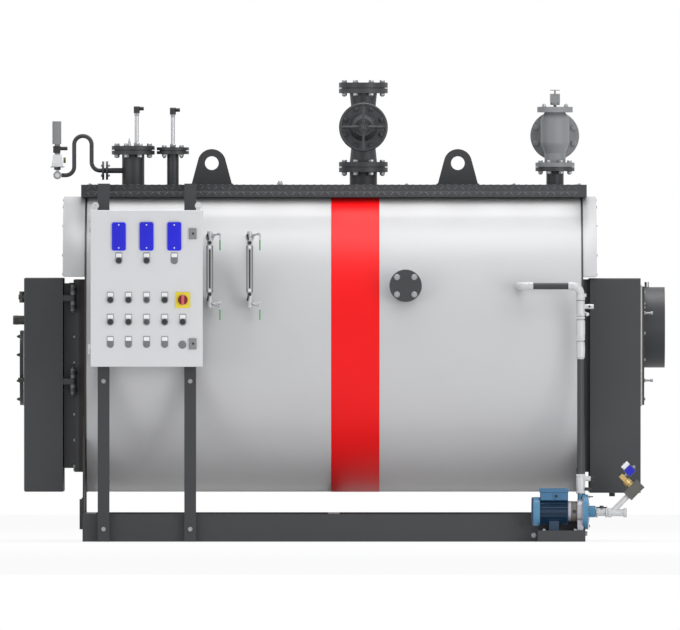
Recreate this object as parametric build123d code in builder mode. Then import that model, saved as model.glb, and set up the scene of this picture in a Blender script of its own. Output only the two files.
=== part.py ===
from build123d import *
import os
from math import isclose, sqrt

os.makedirs("parts", exist_ok=True)

# Packaged fire-tube steam boiler. X runs along the barrel from the burner door (-X) to the
# flue (+X), -Y is the operator's side, Z is up, and the origin is on the floor under the
# middle cross-member of the base frame. All sizes are in millimetres.

# Base frame of rolled channels, webs outward
base_side_gap = 15
channel_height = 140
channel_flange = 60
channel_web = 7
channel_flange_thick = 10
frame_overhang = 10

# Insulated barrel and the sheet around it
barrel_length = 2540
barrel_radius = 755
under_barrel = 110
cladding_sheet = 3
band_left = -14
band_width = 246
band_lip = 1
end_plate_thick = 9
end_plate_lip = 2
axis_z = channel_height + under_barrel + barrel_radius
barrel_end = barrel_length / 2
base_width = 2 * (barrel_radius + base_side_gap)
body_end = barrel_end - end_plate_thick
body_radius = barrel_radius - cladding_sheet

# Leg plates under the two ends of the barrel
leg_thick = 10
leg_foot_inset = 70
leg_top_inset = 140
leg_top_z = 640
leg_arch_half = 330
leg_arch_bridge = 52.5
leg_arch_corner = 60
leg_notch_gap = 1
leg_foot_half = base_width / 2 - leg_foot_inset
leg_top_half = leg_foot_half - leg_top_inset
strap_thick = 16
strap_width = 80
strap_low = 62
strap_high = 216

# Front tube plate, door frame and furnace
frame_width = 960
frame_height = 943
frame_drop = 160
frame_wall = 30
frame_depth = 56
frame_flange_lip = 20
frame_flange_thick = 21
tube_plate_thick = 30
furnace_drop = 121
furnace_radius = 285
furnace_wall = 12
furnace_length = 2150
smoke_hole_radius = 25.5
inner_ring_radius = 345
inner_ring_count = 22
outer_ring_radius = 410
outer_ring_count = 17
outer_ring_start = 150
outer_ring_sweep = 240
frame_z = axis_z - frame_drop
furnace_z = axis_z - furnace_drop
flange_half_width = frame_width / 2 + frame_flange_lip
flange_half_height = frame_height / 2 + frame_flange_lip
leg_notch_low = frame_z - flange_half_height - leg_notch_gap
leg_arch_top = leg_notch_low - leg_arch_bridge
tube_plate_x = -barrel_end - tube_plate_thick
frame_flange_x = tube_plate_x - frame_flange_thick
frame_front_x = frame_flange_x - frame_depth

# Burner door and its hinges on the operator's side
door_gap = 5
door_thick = 198
door_side_overlap = 65
door_low_overlap = 121
door_high_overlap = 28
door_sheet = 6
door_edge = 6
door_fold = 10
burner_plate_radius = 191.5
burner_plate_thick = 19
burner_gasket_thick = 7
burner_gasket_inset = 4
burner_plate_edge = 2
hinge_pin_radius = 8
hinge_pin_gap = 0.4
hinge_back = 47
hinge_inset = 20
hinge_eye_radius = 15
hinge_fork_radius = 20
hinge_arm_height = 30
hinge_fork_thick = 14
hinge_fork_gap = 22
hinge_drop = 76.5
hinge_spread = 425
hinge_plate_extra = 28
hinge_mount_thick = 12
sight_rise = 52.5
sight_radius = 23
sight_length = 62
sight_window_radius = 17
tap_rise = 170.5
tap_radius = 13
tap_length = 34
tap_height = 58
knob_drop = 61
door_knob_radius = 11
door_knob_length = 34
door_back_x = frame_front_x - door_gap
door_front_x = door_back_x - door_thick
door_half_width = frame_width / 2 + door_side_overlap
door_low_z = frame_z - frame_height / 2 - door_low_overlap
door_high_z = frame_z + frame_height / 2 + door_high_overlap
hinge_x = frame_front_x + hinge_back
hinge_y = -door_half_width + hinge_inset
hinge_upper_z = frame_z + frame_height / 2 - hinge_drop
hinge_lower_z = hinge_upper_z - hinge_spread

# White hoods over the two ends
casing_gap = 6
front_casing_depth = 112
rear_casing_depth = 70
sight_z = furnace_z + burner_plate_radius + sight_rise
tap_z = furnace_z + burner_plate_radius + tap_rise
knob_y = -burner_plate_radius - 2 * door_knob_radius
knob_z = furnace_z - knob_drop
front_casing_low = door_high_z + casing_gap

# Smoke box and flue at the rear
neck_thick = 36
smoke_box_depth = 258
smoke_box_wall = 8
smoke_box_drop = 106.5
smoke_box_rise = 5.5
cover_thick = 20
cover_half_width = 380
cover_drop = 42
cover_height = 605
cover_land = 16
flue_drop = 209
flue_radius = 206
flue_wall = 4
flue_length = 108
drain_offset = 117
drain_radius = 15
drain_length = 21
smoke_box_low = frame_z - flange_half_height - smoke_box_drop
smoke_box_high = frame_z + flange_half_height + smoke_box_rise
cover_high_z = smoke_box_high - cover_drop
cover_low_z = cover_high_z - cover_height
flue_z = cover_high_z - flue_drop
smoke_box_x = barrel_end + neck_thick
drain_x = smoke_box_x + drain_offset
cover_x = smoke_box_x + smoke_box_depth
rear_casing_low = smoke_box_high + casing_gap

# Walkway of chequer plate along the crown of the barrel
walkway_rise = 59
walkway_height = 64
walkway_width = 860
walkway_overhang = 20
walkway_deck = 5
walkway_skirt = 6
walkway_rib = 8
walkway_rib_count = 9
walkway_rib_gap = 9
bearer_y = 92
bearer_thick = 8
nozzle_clearance = 5
walkway_end = barrel_end + walkway_overhang
walkway_top = axis_z + barrel_radius + walkway_rise

# Lifting lugs
lug_front_x = -625
lug_rear_x = 634
lug_base_width = 209
lug_thick = 25
lug_hole_rise = 112
lug_hole_radius = 35
lug_head_radius = 72
lug_hole_z = walkway_top + lug_hole_rise

# Nozzles on the crown, from front to rear
nozzle_depth = 115
nozzle_root = axis_z + barrel_radius - nozzle_depth
chamber_x = -1027
chamber_pipe_radius = 57.15
chamber_flange_radius = 110
chamber_flange_rise = 156
chamber_flange_thick = 20
probe_x = -824
probe_pipe_radius = 30.15
probe_flange_radius = 82.5
probe_flange_rise = 158
probe_flange_thick = 15.5
flange_slit = 4
slit_depth = 14
chamber_probe_offset = 18
chamber_vent_offset = -20
chamber_vent_radius = 11
chamber_vent_height = 40
chamber_vent_tip = 2
probe_rod_radius = 10.5
probe_rod_length = 167
plug_radius = 15
plug_height = 36
plug_spout_rise = 24
plug_spout_radius = 9
plug_spout_length = 36
chamber_flange_z = walkway_top + chamber_flange_rise
probe_flange_z = walkway_top + probe_flange_rise

# Main steam valve with its handwheel towards the operator
steam_x = 150.5
steam_pipe_radius = 69.85
steam_flange_radius = 125
steam_flange_thick = 26
steam_stub_rise = 92
valve_face_to_face = 404
valve_neck_radius = 60
valve_belly_radius = 98
valve_port_radius = 50
steam_bore_radius = 62.5
valve_port_depth = 120
bonnet_neck_radius = 70
bonnet_neck_length = 140
bonnet_flange_radius = 117
bonnet_flange_thick = 22
bonnet_cone_radius = 46
bonnet_cone_length = 95
gland_radius = 26
gland_length = 40
stem_radius = 11
stem_length = 75
wheel_radius = 125
wheel_rim_radius = 8
wheel_hub_radius = 26
wheel_hub_length = 34
wheel_spoke_radius = 7
wheel_spoke_count = 4
stem_gap = 0.4
wheel_stand_off = 12
steam_stub_top = walkway_top + steam_stub_rise
valve_centre_z = steam_stub_top + valve_face_to_face / 2
valve_top_z = steam_stub_top + valve_face_to_face

# Safety valve, outlet to the rear side
safety_x = 1131
safety_pipe_radius = 44.45
safety_flange_radius = 100
safety_flange_thick = 22
safety_stub_rise = 93
safety_neck_radius = 54
safety_body_radius = 72.5
safety_neck_rise = 71
safety_body_low_rise = 119
safety_body_top_rise = 251
safety_throat_radius = 52.5
safety_bonnet_rise = 279
safety_bonnet_radius = 91
safety_bonnet_thick = 14
safety_blend = 60
safety_stem_radius = 8
safety_stem_height = 9
safety_ring_radius = 24.5
safety_ring_thick = 12
safety_cap_width = 51
safety_cap_height = 46
safety_window_width = 31
safety_window_height = 24
safety_window_rise = 16
safety_window_depth = 3
safety_spindle_radius = 4
safety_spindle_height = 16
safety_button_radius = 25
safety_button_height = 4
outlet_rise = 160
outlet_reach = 171
outlet_pipe_radius = 68
outlet_flange_radius = 125
outlet_flange_thick = 26
outlet_bore_radius = 62.5
outlet_bore_depth = 110
outlet_bolt_circle = 105
outlet_bolt_radius = 9
outlet_bolt_count = 8
safety_stub_top = walkway_top + safety_stub_rise
safety_neck_top = safety_stub_top + safety_neck_rise
safety_body_low = safety_stub_top + safety_body_low_rise
safety_body_top = safety_stub_top + safety_body_top_rise
safety_bonnet_z = safety_stub_top + safety_bonnet_rise
outlet_z = safety_stub_top + outlet_rise

# Siphon tube with its pressure switch and transmitter
siphon_rise = 74
siphon_low_drop = 24
siphon_loop_height = 177
siphon_loop_reach = 59
siphon_loop_width = 89
siphon_end_reach = 65
siphon_bend = 44
siphon_tube_radius = 10.65
siphon_branch_radius = 13.45
siphon_flange_radius = 47.5
siphon_flange_thick = 11
siphon_flange_gap = 9
siphon_flange_reach = 154
siphon_branch_length_extra = 4
switch_ball_radius = 21
switch_neck_radius = 9
switch_box_rise = 40
switch_box_height = 66
switch_box_low_width = 60
switch_box_high_width = 44
switch_brim_width = 64
switch_brim_height = 5
switch_depth = 52
switch_low_inset = 4
switch_high_inset = 10
transmitter_plug_radius = 14
transmitter_plug_height = 53
transmitter_spout_length = 52
transmitter_spout_radius = 9
transmitter_spout_rise = 31
transmitter_radius = 23
transmitter_height = 117
transmitter_offset = 3
siphon_z = walkway_top + siphon_rise
siphon_low_z = siphon_z - siphon_low_drop
siphon_top_z = siphon_z + siphon_loop_height
siphon_flange_x = chamber_x - siphon_flange_reach
siphon_right_x = siphon_flange_x - siphon_loop_reach
siphon_left_x = siphon_right_x - siphon_loop_width
siphon_end_x = siphon_left_x - siphon_end_reach
switch_x = siphon_end_x - switch_ball_radius
switch_box_low = siphon_low_z + switch_box_rise
switch_box_high = switch_box_low + switch_box_height
transmitter_plug_top = switch_box_high + transmitter_plug_height
transmitter_x = switch_x - transmitter_offset

# Control panel and the two posts that carry it
post_width = 60
post_depth = 40
post_spread = 441
post_arm = 40
tongue_thick = 4
tongue_length = 60
panel_x = -952
panel_width = 570
panel_low_z = 891
panel_height = 796
panel_depth = 215
panel_wall = 3
panel_door_gap = 5
panel_door_thick = 20
panel_door_edge = 3
panel_ear_radius = 17.5
panel_ear_hole = 8
panel_ear_thick = 5
panel_ear_spread = 523
panel_ear_rise = 6
panel_hinge_radius = 6
panel_hinge_pin = 3
panel_hinge_gap = 0.3
panel_hinge_half = 25
panel_hinge_inset = 90
display_width = 72
display_height = 144
display_thick = 9
display_spread = 141
display_drop = 134
column_pitch = 92
row_one_count = 4
row_count = 5
top_row_drop = 256
row_one_drop = 456
row_two_drop = 568
row_three_drop = 678
button_radius = 15
button_length = 16
lock_width = 38
lock_height = 52
lock_thick = 10
lock_offset = 234
lock_drop = 121
switch_plate_width = 76
switch_plate_height = 72
switch_plate_thick = 4
knob_radius = 24.5
knob_length = 24
knob_gap = 0.5
post_back_y = -base_width / 2
post_front_y = post_back_y - post_depth
panel_rim_y = post_front_y - panel_depth
door_rear_y = panel_rim_y - panel_door_gap
door_face_y = door_rear_y - panel_door_thick
panel_high_z = panel_low_z + panel_height
display_z = panel_high_z - display_drop
top_row_z = panel_high_z - top_row_drop
row_one_z = panel_high_z - row_one_drop
row_two_z = panel_high_z - row_two_drop
row_three_z = panel_high_z - row_three_drop
lock_high_z = panel_high_z - lock_drop
panel_left_x = panel_x - panel_width / 2
panel_hinge_x = panel_left_x - panel_hinge_radius
panel_hinge_y = panel_rim_y - panel_door_gap / 2

# Two level gauges
gauge_left_x = -632
gauge_right_x = -429
gauge_offset = 45
gauge_width = 34
gauge_depth = 32
gauge_rise = 262
gauge_height = 241
gauge_slot_width = 9
gauge_slot_margin = 24
gauge_slot_depth = 8
gauge_bevel = 5
cock_radius = 13
cock_low_length = 75
cock_high_length = 72
gauge_nozzle_radius = 13
gauge_nozzle_low_rise = 33
gauge_nozzle_high_drop = 30
gauge_union_radius = 22
gauge_union_length = 20
side_nozzle_depth = 335
lever_high_drop = 15
lever_low_rise = 19
lever_stem_radius = 5.5
lever_stem_length = 56
lever_eye_radius = 11
lever_eye_gap = 0.3
lever_thick = 8
lever_drop = 82
lever_grip_length = 54
lever_grip_width = 14
gauge_y = -barrel_radius - gauge_offset
side_root = barrel_radius - side_nozzle_depth
gauge_low_z = axis_z + gauge_rise
gauge_high_z = gauge_low_z + gauge_height
cock_low_z = gauge_low_z - cock_low_length
cock_high_z = gauge_high_z + cock_high_length
gauge_nozzle_low_z = cock_low_z + gauge_nozzle_low_rise
gauge_nozzle_high_z = cock_high_z - gauge_nozzle_high_drop
lever_low_z = cock_low_z + lever_low_rise
lever_high_z = cock_high_z - lever_high_drop

# Blind flange of the hand hole
hand_hole_x = 365
hand_hole_rise = 298
hand_hole_neck_radius = 44
hand_hole_radius = 82.5
hand_hole_thick = 17.5
hand_hole_stand_off = 45
hand_hole_z = axis_z + hand_hole_rise
hand_hole_face_y = -barrel_radius - hand_hole_stand_off

# Feed water line and pump
feed_x = 943
feed_rise = 296
feed_stand_off = 90
feed_radius = 16.85
feed_bend = 48
feed_joint_offset = 56.6
riser_inset = 15.4
riser_bend = 40
union_radius = 21
riser_valve_length = 131
riser_cock_drop = 366
riser_cock_length = 84
riser_union_drop = 274
riser_union_length = 103
riser_nipple_drop = 152
riser_nipple_length = 63
riser_collar_drop = 81
riser_collar_length = 25
pump_z = 154
pump_reach = 249.6
cowl_length = 44
cowl_radius = 73
cowl_edge = 8
motor_length = 142
motor_core_radius = 58
fin_radius = 67.5
fin_thick = 4
fin_count = 20
terminal_width = 104
terminal_rise = 60
terminal_height = 58
lantern_length = 48
lantern_radius = 52
pump_plate_length = 28
pump_plate_radius = 62
volute_length = 33
volute_radius = 87
volute_nose_length = 8
volute_nose_radius = 40
neck_length = 31
suction_neck_radius = 29.5
discharge_rise = 91
discharge_radius = 15
bracket_offset = 32
bracket_length = 242
bracket_depth = 180
bracket_low = 4
bracket_high = 58
bracket_wall = 6
foot_width = 50
foot_spread = 90
foot_thick = 24
suction_drop = 6
valve_radius = 17
valve_hex_radius = 19
valve_hex_length = 14
valve_length = 62
valve_stem_radius = 6
valve_stem_rise = 5
handle_length = 59
handle_width = 14
handle_height = 9
handle_lift = 2
handle_hub_radius = 10
handle_hub_height = 15
handle_gap = 0.3
strainer_radius = 18
strainer_hex_radius = 24.5
strainer_hex_length = 20
strainer_length = 98
branch_offset = 18
branch_radius = 14
branch_length = 118
solenoid_length = 93
solenoid_width = 56
pilot_offset = 50.5
pilot_base_radius = 20
pilot_base_rise = 64
pilot_width = 24
pilot_rise = 101
coil_rise = 61
coil_size = 46
coil_offset = 49.5
coil_tube_radius = 7
coil_tube_length = 86
coil_plug_offset = 52.5
coil_plug_length = 43
coil_plug_width = 30
coil_plug_height = 24
feed_z = axis_z + feed_rise
feed_y = -base_width / 2 - feed_stand_off
riser_x = barrel_end - riser_inset
feed_joint_x = riser_x - feed_joint_offset
cowl_x = riser_x - pump_reach
discharge_top = pump_z + discharge_rise
suction_z = pump_z - suction_drop
bracket_left = cowl_x + bracket_offset
motor_x = cowl_x + cowl_length
lantern_x = motor_x + motor_length
pump_plate_x = lantern_x + lantern_length
volute_x = pump_plate_x + pump_plate_length
pump_neck_x = volute_x + volute_length
suction_x = pump_neck_x + neck_length
strainer_x = suction_x + valve_length
branch_x = strainer_x + branch_offset
handle_z = suction_z + valve_hex_radius + handle_lift

UP = (Align.CENTER, Align.CENTER, Align.MIN)
ALONG_X = (0, 90, 0)
hexagon_sides = 6
ALONG_FRONT = (90, 0, 0)


def write_piece(piece, name):
    """Label a finished piece and write its file."""
    piece.part.label = name
    export_step(piece.part, "parts/" + name + ".step")


def crown_openings(clearance):
    """Outlines of everything that rises from the crown, seen from above."""
    nozzles = (
        (chamber_x, chamber_pipe_radius),
        (probe_x, probe_pipe_radius),
        (steam_x, steam_pipe_radius),
        (safety_x, safety_pipe_radius),
    )
    with BuildSketch(Plane.XY.offset(nozzle_root)) as outlines:
        for x, radius in nozzles:
            with Locations((x, 0)):
                Circle(radius + clearance)
        for x in (lug_front_x, lug_rear_x):
            with Locations((x, 0)):
                Rectangle(lug_base_width + 2 * clearance, lug_thick + 2 * clearance)
    return outlines.sketch


def side_openings():
    """Outlines of everything that leaves the barrel on the operator's side."""
    with BuildSketch(Plane.XZ.offset(side_root)) as outlines:
        for x in (gauge_left_x, gauge_right_x):
            for z in (gauge_nozzle_low_z, gauge_nozzle_high_z):
                with Locations((x, z)):
                    Circle(gauge_nozzle_radius)
        with Locations((hand_hole_x, hand_hole_z)):
            Circle(hand_hole_neck_radius)
        with Locations((feed_x, feed_z)):
            Circle(feed_radius)
    return outlines.sketch


# Base frame: two long channels tied by three cross channels
rail_centre = base_width / 2 - channel_flange / 2
frame_length = barrel_length + 2 * frame_overhang
inner_height = channel_height - 2 * channel_flange_thick
cross_x = frame_length / 2 - channel_flange / 2
with BuildPart() as base_frame:
    for side in (-1, 1):
        with BuildSketch(Plane.YZ.offset(-frame_length / 2)):
            with Locations((side * rail_centre, channel_height / 2)):
                Rectangle(channel_flange, channel_height)
            with Locations((side * (rail_centre - channel_web), channel_height / 2)):
                Rectangle(channel_flange, inner_height, mode=Mode.SUBTRACT)
        extrude(amount=frame_length)
    for x, opening in ((-cross_x, 1), (0, 1), (cross_x, -1)):
        with BuildSketch(Plane.XZ.offset(-base_width / 2 + channel_web)):
            with Locations((x, channel_height / 2)):
                Rectangle(channel_flange, channel_height)
            with Locations((x + opening * channel_web, channel_height / 2)):
                Rectangle(channel_flange, inner_height, mode=Mode.SUBTRACT)
        extrude(amount=base_width - 2 * channel_web)
write_piece(base_frame, "base_frame")

# Leg plates: an arched plate under each end, strapped to the end of the frame
for end, name in ((-1, "front_leg_plate"), (1, "rear_leg_plate")):
    leg_inner_x = end * barrel_end
    notch_width = 2 * (flange_half_width + leg_notch_gap)
    with BuildPart() as leg_plate:
        with BuildSketch(Plane.YZ.offset(leg_inner_x)):
            with BuildLine():
                Polyline(
                    (-leg_foot_half, channel_height),
                    (leg_foot_half, channel_height),
                    (leg_top_half, leg_top_z),
                    (-leg_top_half, leg_top_z),
                    close=True,
                )
            make_face()
            with Locations((0, leg_notch_low)):
                Rectangle(notch_width, leg_top_z, align=(Align.CENTER, Align.MIN), mode=Mode.SUBTRACT)
            with Locations((0, channel_height)):
                RectangleRounded(
                    2 * leg_arch_half, 2 * (leg_arch_top - channel_height), leg_arch_corner,
                    mode=Mode.SUBTRACT,
                )
        extrude(amount=end * leg_thick)
        strap_y = leg_foot_half - strap_width
        strap_x = end * (barrel_end + leg_thick + strap_thick / 2)
        with Locations((strap_x, strap_y, strap_low), (strap_x, -strap_y, strap_low)):
            Box(strap_thick, strap_width, strap_high - strap_low, align=UP)
    write_piece(leg_plate, name)

# Barrel: the insulated pressure body, bored for the furnace and socketed for the nozzles
furnace_back = tube_plate_x + furnace_length
with BuildPart() as pressure_body:
    with BuildSketch(Plane.YZ.offset(-body_end)):
        with Locations((0, axis_z)):
            Circle(body_radius)
    extrude(amount=2 * body_end)
    with BuildSketch(Plane.YZ.offset(-body_end)):
        with Locations((0, furnace_z)):
            Circle(furnace_radius)
    extrude(amount=furnace_back + body_end, mode=Mode.SUBTRACT)
    extrude(crown_openings(0), amount=barrel_radius, mode=Mode.SUBTRACT)
    extrude(side_openings(), amount=barrel_radius, mode=Mode.SUBTRACT)
write_piece(pressure_body, "pressure_body")

# Cladding sheets left and right of the coloured band
band_right = band_left + band_width
with BuildPart() as cladding:
    for left, right in ((-body_end, band_left), (band_right, body_end)):
        with BuildSketch(Plane.YZ.offset(left)):
            with Locations((0, axis_z)):
                Circle(barrel_radius)
                Circle(body_radius, mode=Mode.SUBTRACT)
        extrude(amount=right - left)
    extrude(crown_openings(0), amount=barrel_radius, mode=Mode.SUBTRACT)
    extrude(side_openings(), amount=barrel_radius, mode=Mode.SUBTRACT)
write_piece(cladding, "cladding")

with BuildPart() as cladding_band:
    with BuildSketch(Plane.YZ.offset(band_left)):
        with Locations((0, axis_z)):
            Circle(barrel_radius + band_lip)
            Circle(body_radius, mode=Mode.SUBTRACT)
    extrude(amount=band_width)
    extrude(crown_openings(0), amount=barrel_radius, mode=Mode.SUBTRACT)
write_piece(cladding_band, "cladding_band")

# End plates: dark discs with a small lip past the sheet
with BuildPart() as front_end_plate:
    with BuildSketch(Plane.YZ.offset(-barrel_end)):
        with Locations((0, axis_z)):
            Circle(barrel_radius + end_plate_lip)
        with Locations((0, furnace_z)):
            Circle(furnace_radius, mode=Mode.SUBTRACT)
    extrude(amount=end_plate_thick)
write_piece(front_end_plate, "front_end_plate")

with BuildPart() as rear_end_plate:
    with BuildSketch(Plane.YZ.offset(body_end)):
        with Locations((0, axis_z)):
            Circle(barrel_radius + end_plate_lip)
    extrude(amount=end_plate_thick)
write_piece(rear_end_plate, "rear_end_plate")

# Front tube plate: the furnace mouth inside two rings of smoke tube mouths
with BuildPart() as front_tube_plate:
    with BuildSketch(Plane.YZ.offset(tube_plate_x)):
        with Locations((0, frame_z)):
            Rectangle(2 * flange_half_width, 2 * flange_half_height)
        with Locations((0, furnace_z)):
            Circle(furnace_radius, mode=Mode.SUBTRACT)
            with PolarLocations(inner_ring_radius, inner_ring_count):
                Circle(smoke_hole_radius, mode=Mode.SUBTRACT)
            with PolarLocations(
                outer_ring_radius, outer_ring_count, outer_ring_start, outer_ring_sweep, endpoint=True
            ):
                Circle(smoke_hole_radius, mode=Mode.SUBTRACT)
    extrude(amount=tube_plate_thick)
write_piece(front_tube_plate, "front_tube_plate")

# Furnace: a long tube with a closed back, flush with the tube plate
with BuildPart() as furnace_tube:
    with BuildSketch(Plane.YZ.offset(tube_plate_x)):
        with Locations((0, furnace_z)):
            Circle(furnace_radius)
    extrude(amount=furnace_length)
    with BuildSketch(Plane.YZ.offset(tube_plate_x)):
        with Locations((0, furnace_z)):
            Circle(furnace_radius - furnace_wall)
    extrude(amount=furnace_length - furnace_wall, mode=Mode.SUBTRACT)
write_piece(furnace_tube, "furnace_tube")

# Door frame: a flanged box ring that the burner door closes against
inner_width = frame_width - 2 * frame_wall
inner_height_frame = frame_height - 2 * frame_wall
with BuildPart() as door_frame:
    with BuildSketch(Plane.YZ.offset(frame_flange_x)):
        with Locations((0, frame_z)):
            Rectangle(2 * flange_half_width, 2 * flange_half_height)
            Rectangle(inner_width, inner_height_frame, mode=Mode.SUBTRACT)
    extrude(amount=frame_flange_thick)
    with BuildSketch(Plane.YZ.offset(frame_front_x)):
        with Locations((0, frame_z)):
            Rectangle(frame_width, frame_height)
            Rectangle(inner_width, inner_height_frame, mode=Mode.SUBTRACT)
    extrude(amount=frame_depth)
write_piece(door_frame, "door_frame")

# Hinge forks on the side of the door frame, with the fixed pins
fork_low_offset = hinge_arm_height / 2 + hinge_fork_gap
frame_side_y = -frame_width / 2
fork_reach = frame_side_y - hinge_mount_thick - hinge_y
fork_left_x = hinge_x - hinge_fork_radius
mount_centre_x = (fork_left_x + frame_flange_x) / 2
mount_width = frame_flange_x - fork_left_x
with BuildPart() as hinge_brackets:
    for z in (hinge_upper_z, hinge_lower_z):
        mount_half = fork_low_offset + hinge_fork_thick + hinge_plate_extra
        with Locations((mount_centre_x, frame_side_y - hinge_mount_thick / 2, z)):
            Box(mount_width, hinge_mount_thick, 2 * mount_half)
        for level in (z - fork_low_offset - hinge_fork_thick, z + fork_low_offset):
            with BuildSketch(Plane.XY.offset(level)):
                with Locations((hinge_x, hinge_y)):
                    Circle(hinge_fork_radius)
                with Locations((mount_centre_x, hinge_y)):
                    Rectangle(mount_width, fork_reach, align=(Align.CENTER, Align.MIN))
            extrude(amount=hinge_fork_thick)
        with Locations((hinge_x, hinge_y, z)):
            Cylinder(hinge_pin_radius, 2 * (fork_low_offset + hinge_fork_thick))
write_piece(hinge_brackets, "hinge_brackets")

# Burner door: a sheet steel box around a flush refractory block, with two hinge arms
door_height = door_high_z - door_low_z
door_mid_z = (door_high_z + door_low_z) / 2
with BuildPart() as front_door:
    with BuildSketch(Plane.YZ.offset(door_front_x)):
        with Locations((0, door_mid_z)):
            RectangleRounded(2 * door_half_width, door_height, door_fold)
    extrude(amount=door_thick)
    chamfer(front_door.faces().sort_by(Axis.X)[0].edges(), door_edge)
    with BuildSketch(Plane.YZ.offset(door_front_x + door_sheet)):
        with Locations((0, frame_z)):
            Rectangle(frame_width, frame_height)
    extrude(amount=door_thick, mode=Mode.SUBTRACT)
    arm_length = hinge_x - door_back_x
    for z in (hinge_upper_z, hinge_lower_z):
        with BuildSketch(Plane.XY.offset(z - hinge_arm_height / 2)):
            with Locations((hinge_x, hinge_y)):
                Circle(hinge_eye_radius)
                Rectangle(arm_length, 2 * hinge_eye_radius, align=(Align.MAX, Align.CENTER))
                Circle(hinge_pin_radius + hinge_pin_gap, mode=Mode.SUBTRACT)
        extrude(amount=hinge_arm_height)
write_piece(front_door, "front_door")

with BuildPart() as door_lining:
    with BuildSketch(Plane.YZ.offset(door_front_x + door_sheet)):
        with Locations((0, frame_z)):
            Rectangle(frame_width, frame_height)
    extrude(amount=door_thick - door_sheet)
write_piece(door_lining, "door_lining")

# Round burner plate on its gasket
with BuildPart() as burner_plate:
    gasket_x = door_front_x - burner_gasket_thick
    with Locations((door_front_x - burner_gasket_thick / 2, 0, furnace_z)):
        Cylinder(burner_plate_radius - burner_gasket_inset, burner_gasket_thick, rotation=ALONG_X)
    with Locations((gasket_x - burner_plate_thick / 2, 0, furnace_z)):
        Cylinder(burner_plate_radius, burner_plate_thick, rotation=ALONG_X)
    chamfer(burner_plate.faces().sort_by(Axis.X)[0].edges(), burner_plate_edge)
write_piece(burner_plate, "burner_plate")

# Fittings on the burner door's face: a sight tube and a small tap
with BuildPart() as door_fittings:
    with Locations((door_front_x - sight_length / 2, 0, sight_z)):
        Cylinder(sight_radius, sight_length, rotation=ALONG_X)
    with BuildSketch(Plane.YZ.offset(door_front_x - sight_length)):
        with Locations((0, sight_z)):
            Circle(sight_window_radius)
    extrude(amount=sight_length / 2, mode=Mode.SUBTRACT)
    with Locations((door_front_x - tap_length / 2, 0, tap_z)):
        Cylinder(tap_radius, tap_length, rotation=ALONG_X)
        Cylinder(tap_radius, tap_height)
    with Locations((door_front_x - door_knob_length / 2, knob_y, knob_z)):
        Cylinder(door_knob_radius, door_knob_length, rotation=ALONG_X)
write_piece(door_fittings, "door_fittings")

# White hoods: segments of the barrel's own round over the door frame and the smoke box
for name, inner_x, depth, low_z in (
    ("front_casing", -barrel_end, -front_casing_depth, front_casing_low),
    ("rear_casing", barrel_end, rear_casing_depth, rear_casing_low),
):
    with BuildPart() as casing:
        with BuildSketch(Plane.YZ.offset(inner_x)):
            with Locations((0, axis_z)):
                Circle(barrel_radius)
            with Locations((0, low_z)):
                Rectangle(
                    2 * barrel_radius, 2 * barrel_radius, align=(Align.CENTER, Align.MAX), mode=Mode.SUBTRACT
                )
        extrude(amount=depth)
    write_piece(casing, name)

# Smoke box: a steel box behind a flanged neck, open at the rear behind its cover
smoke_box_mid_z = (smoke_box_low + smoke_box_high) / 2
smoke_box_height = smoke_box_high - smoke_box_low
cover_mid_z = (cover_low_z + cover_high_z) / 2
with BuildPart() as smoke_box:
    with BuildSketch(Plane.YZ.offset(barrel_end)):
        with Locations((0, frame_z)):
            Rectangle(2 * flange_half_width, 2 * flange_half_height)
    extrude(amount=neck_thick)
    with BuildSketch(Plane.YZ.offset(smoke_box_x)):
        with Locations((0, smoke_box_mid_z)):
            RectangleRounded(2 * door_half_width, smoke_box_height, door_fold)
    extrude(amount=smoke_box_depth)
    with BuildSketch(Plane.YZ.offset(smoke_box_x + smoke_box_wall)):
        with Locations((0, smoke_box_mid_z)):
            Rectangle(2 * (door_half_width - smoke_box_wall), smoke_box_height - 2 * smoke_box_wall)
    extrude(amount=smoke_box_depth - 2 * smoke_box_wall, mode=Mode.SUBTRACT)
    with BuildSketch(Plane.YZ.offset(cover_x - smoke_box_wall)):
        with Locations((0, cover_mid_z)):
            Rectangle(2 * (cover_half_width - cover_land), cover_height - 2 * cover_land)
    extrude(amount=smoke_box_wall, mode=Mode.SUBTRACT)
    with Locations((drain_x, 0, smoke_box_low - drain_length)):
        Cylinder(drain_radius, drain_length, align=UP)
write_piece(smoke_box, "smoke_box")

# Smoke box cover with the flue spigot
with BuildPart() as flue_outlet:
    with BuildSketch(Plane.YZ.offset(cover_x)):
        with Locations((0, cover_mid_z)):
            Rectangle(2 * cover_half_width, cover_height)
    extrude(amount=cover_thick)
    with BuildSketch(Plane.YZ.offset(cover_x)):
        with Locations((0, flue_z)):
            Circle(flue_radius)
    extrude(amount=cover_thick + flue_length)
    with BuildSketch(Plane.YZ.offset(cover_x)):
        with Locations((0, flue_z)):
            Circle(flue_radius - flue_wall)
    extrude(amount=cover_thick + flue_length, mode=Mode.SUBTRACT)
write_piece(flue_outlet, "flue_outlet")

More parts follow.
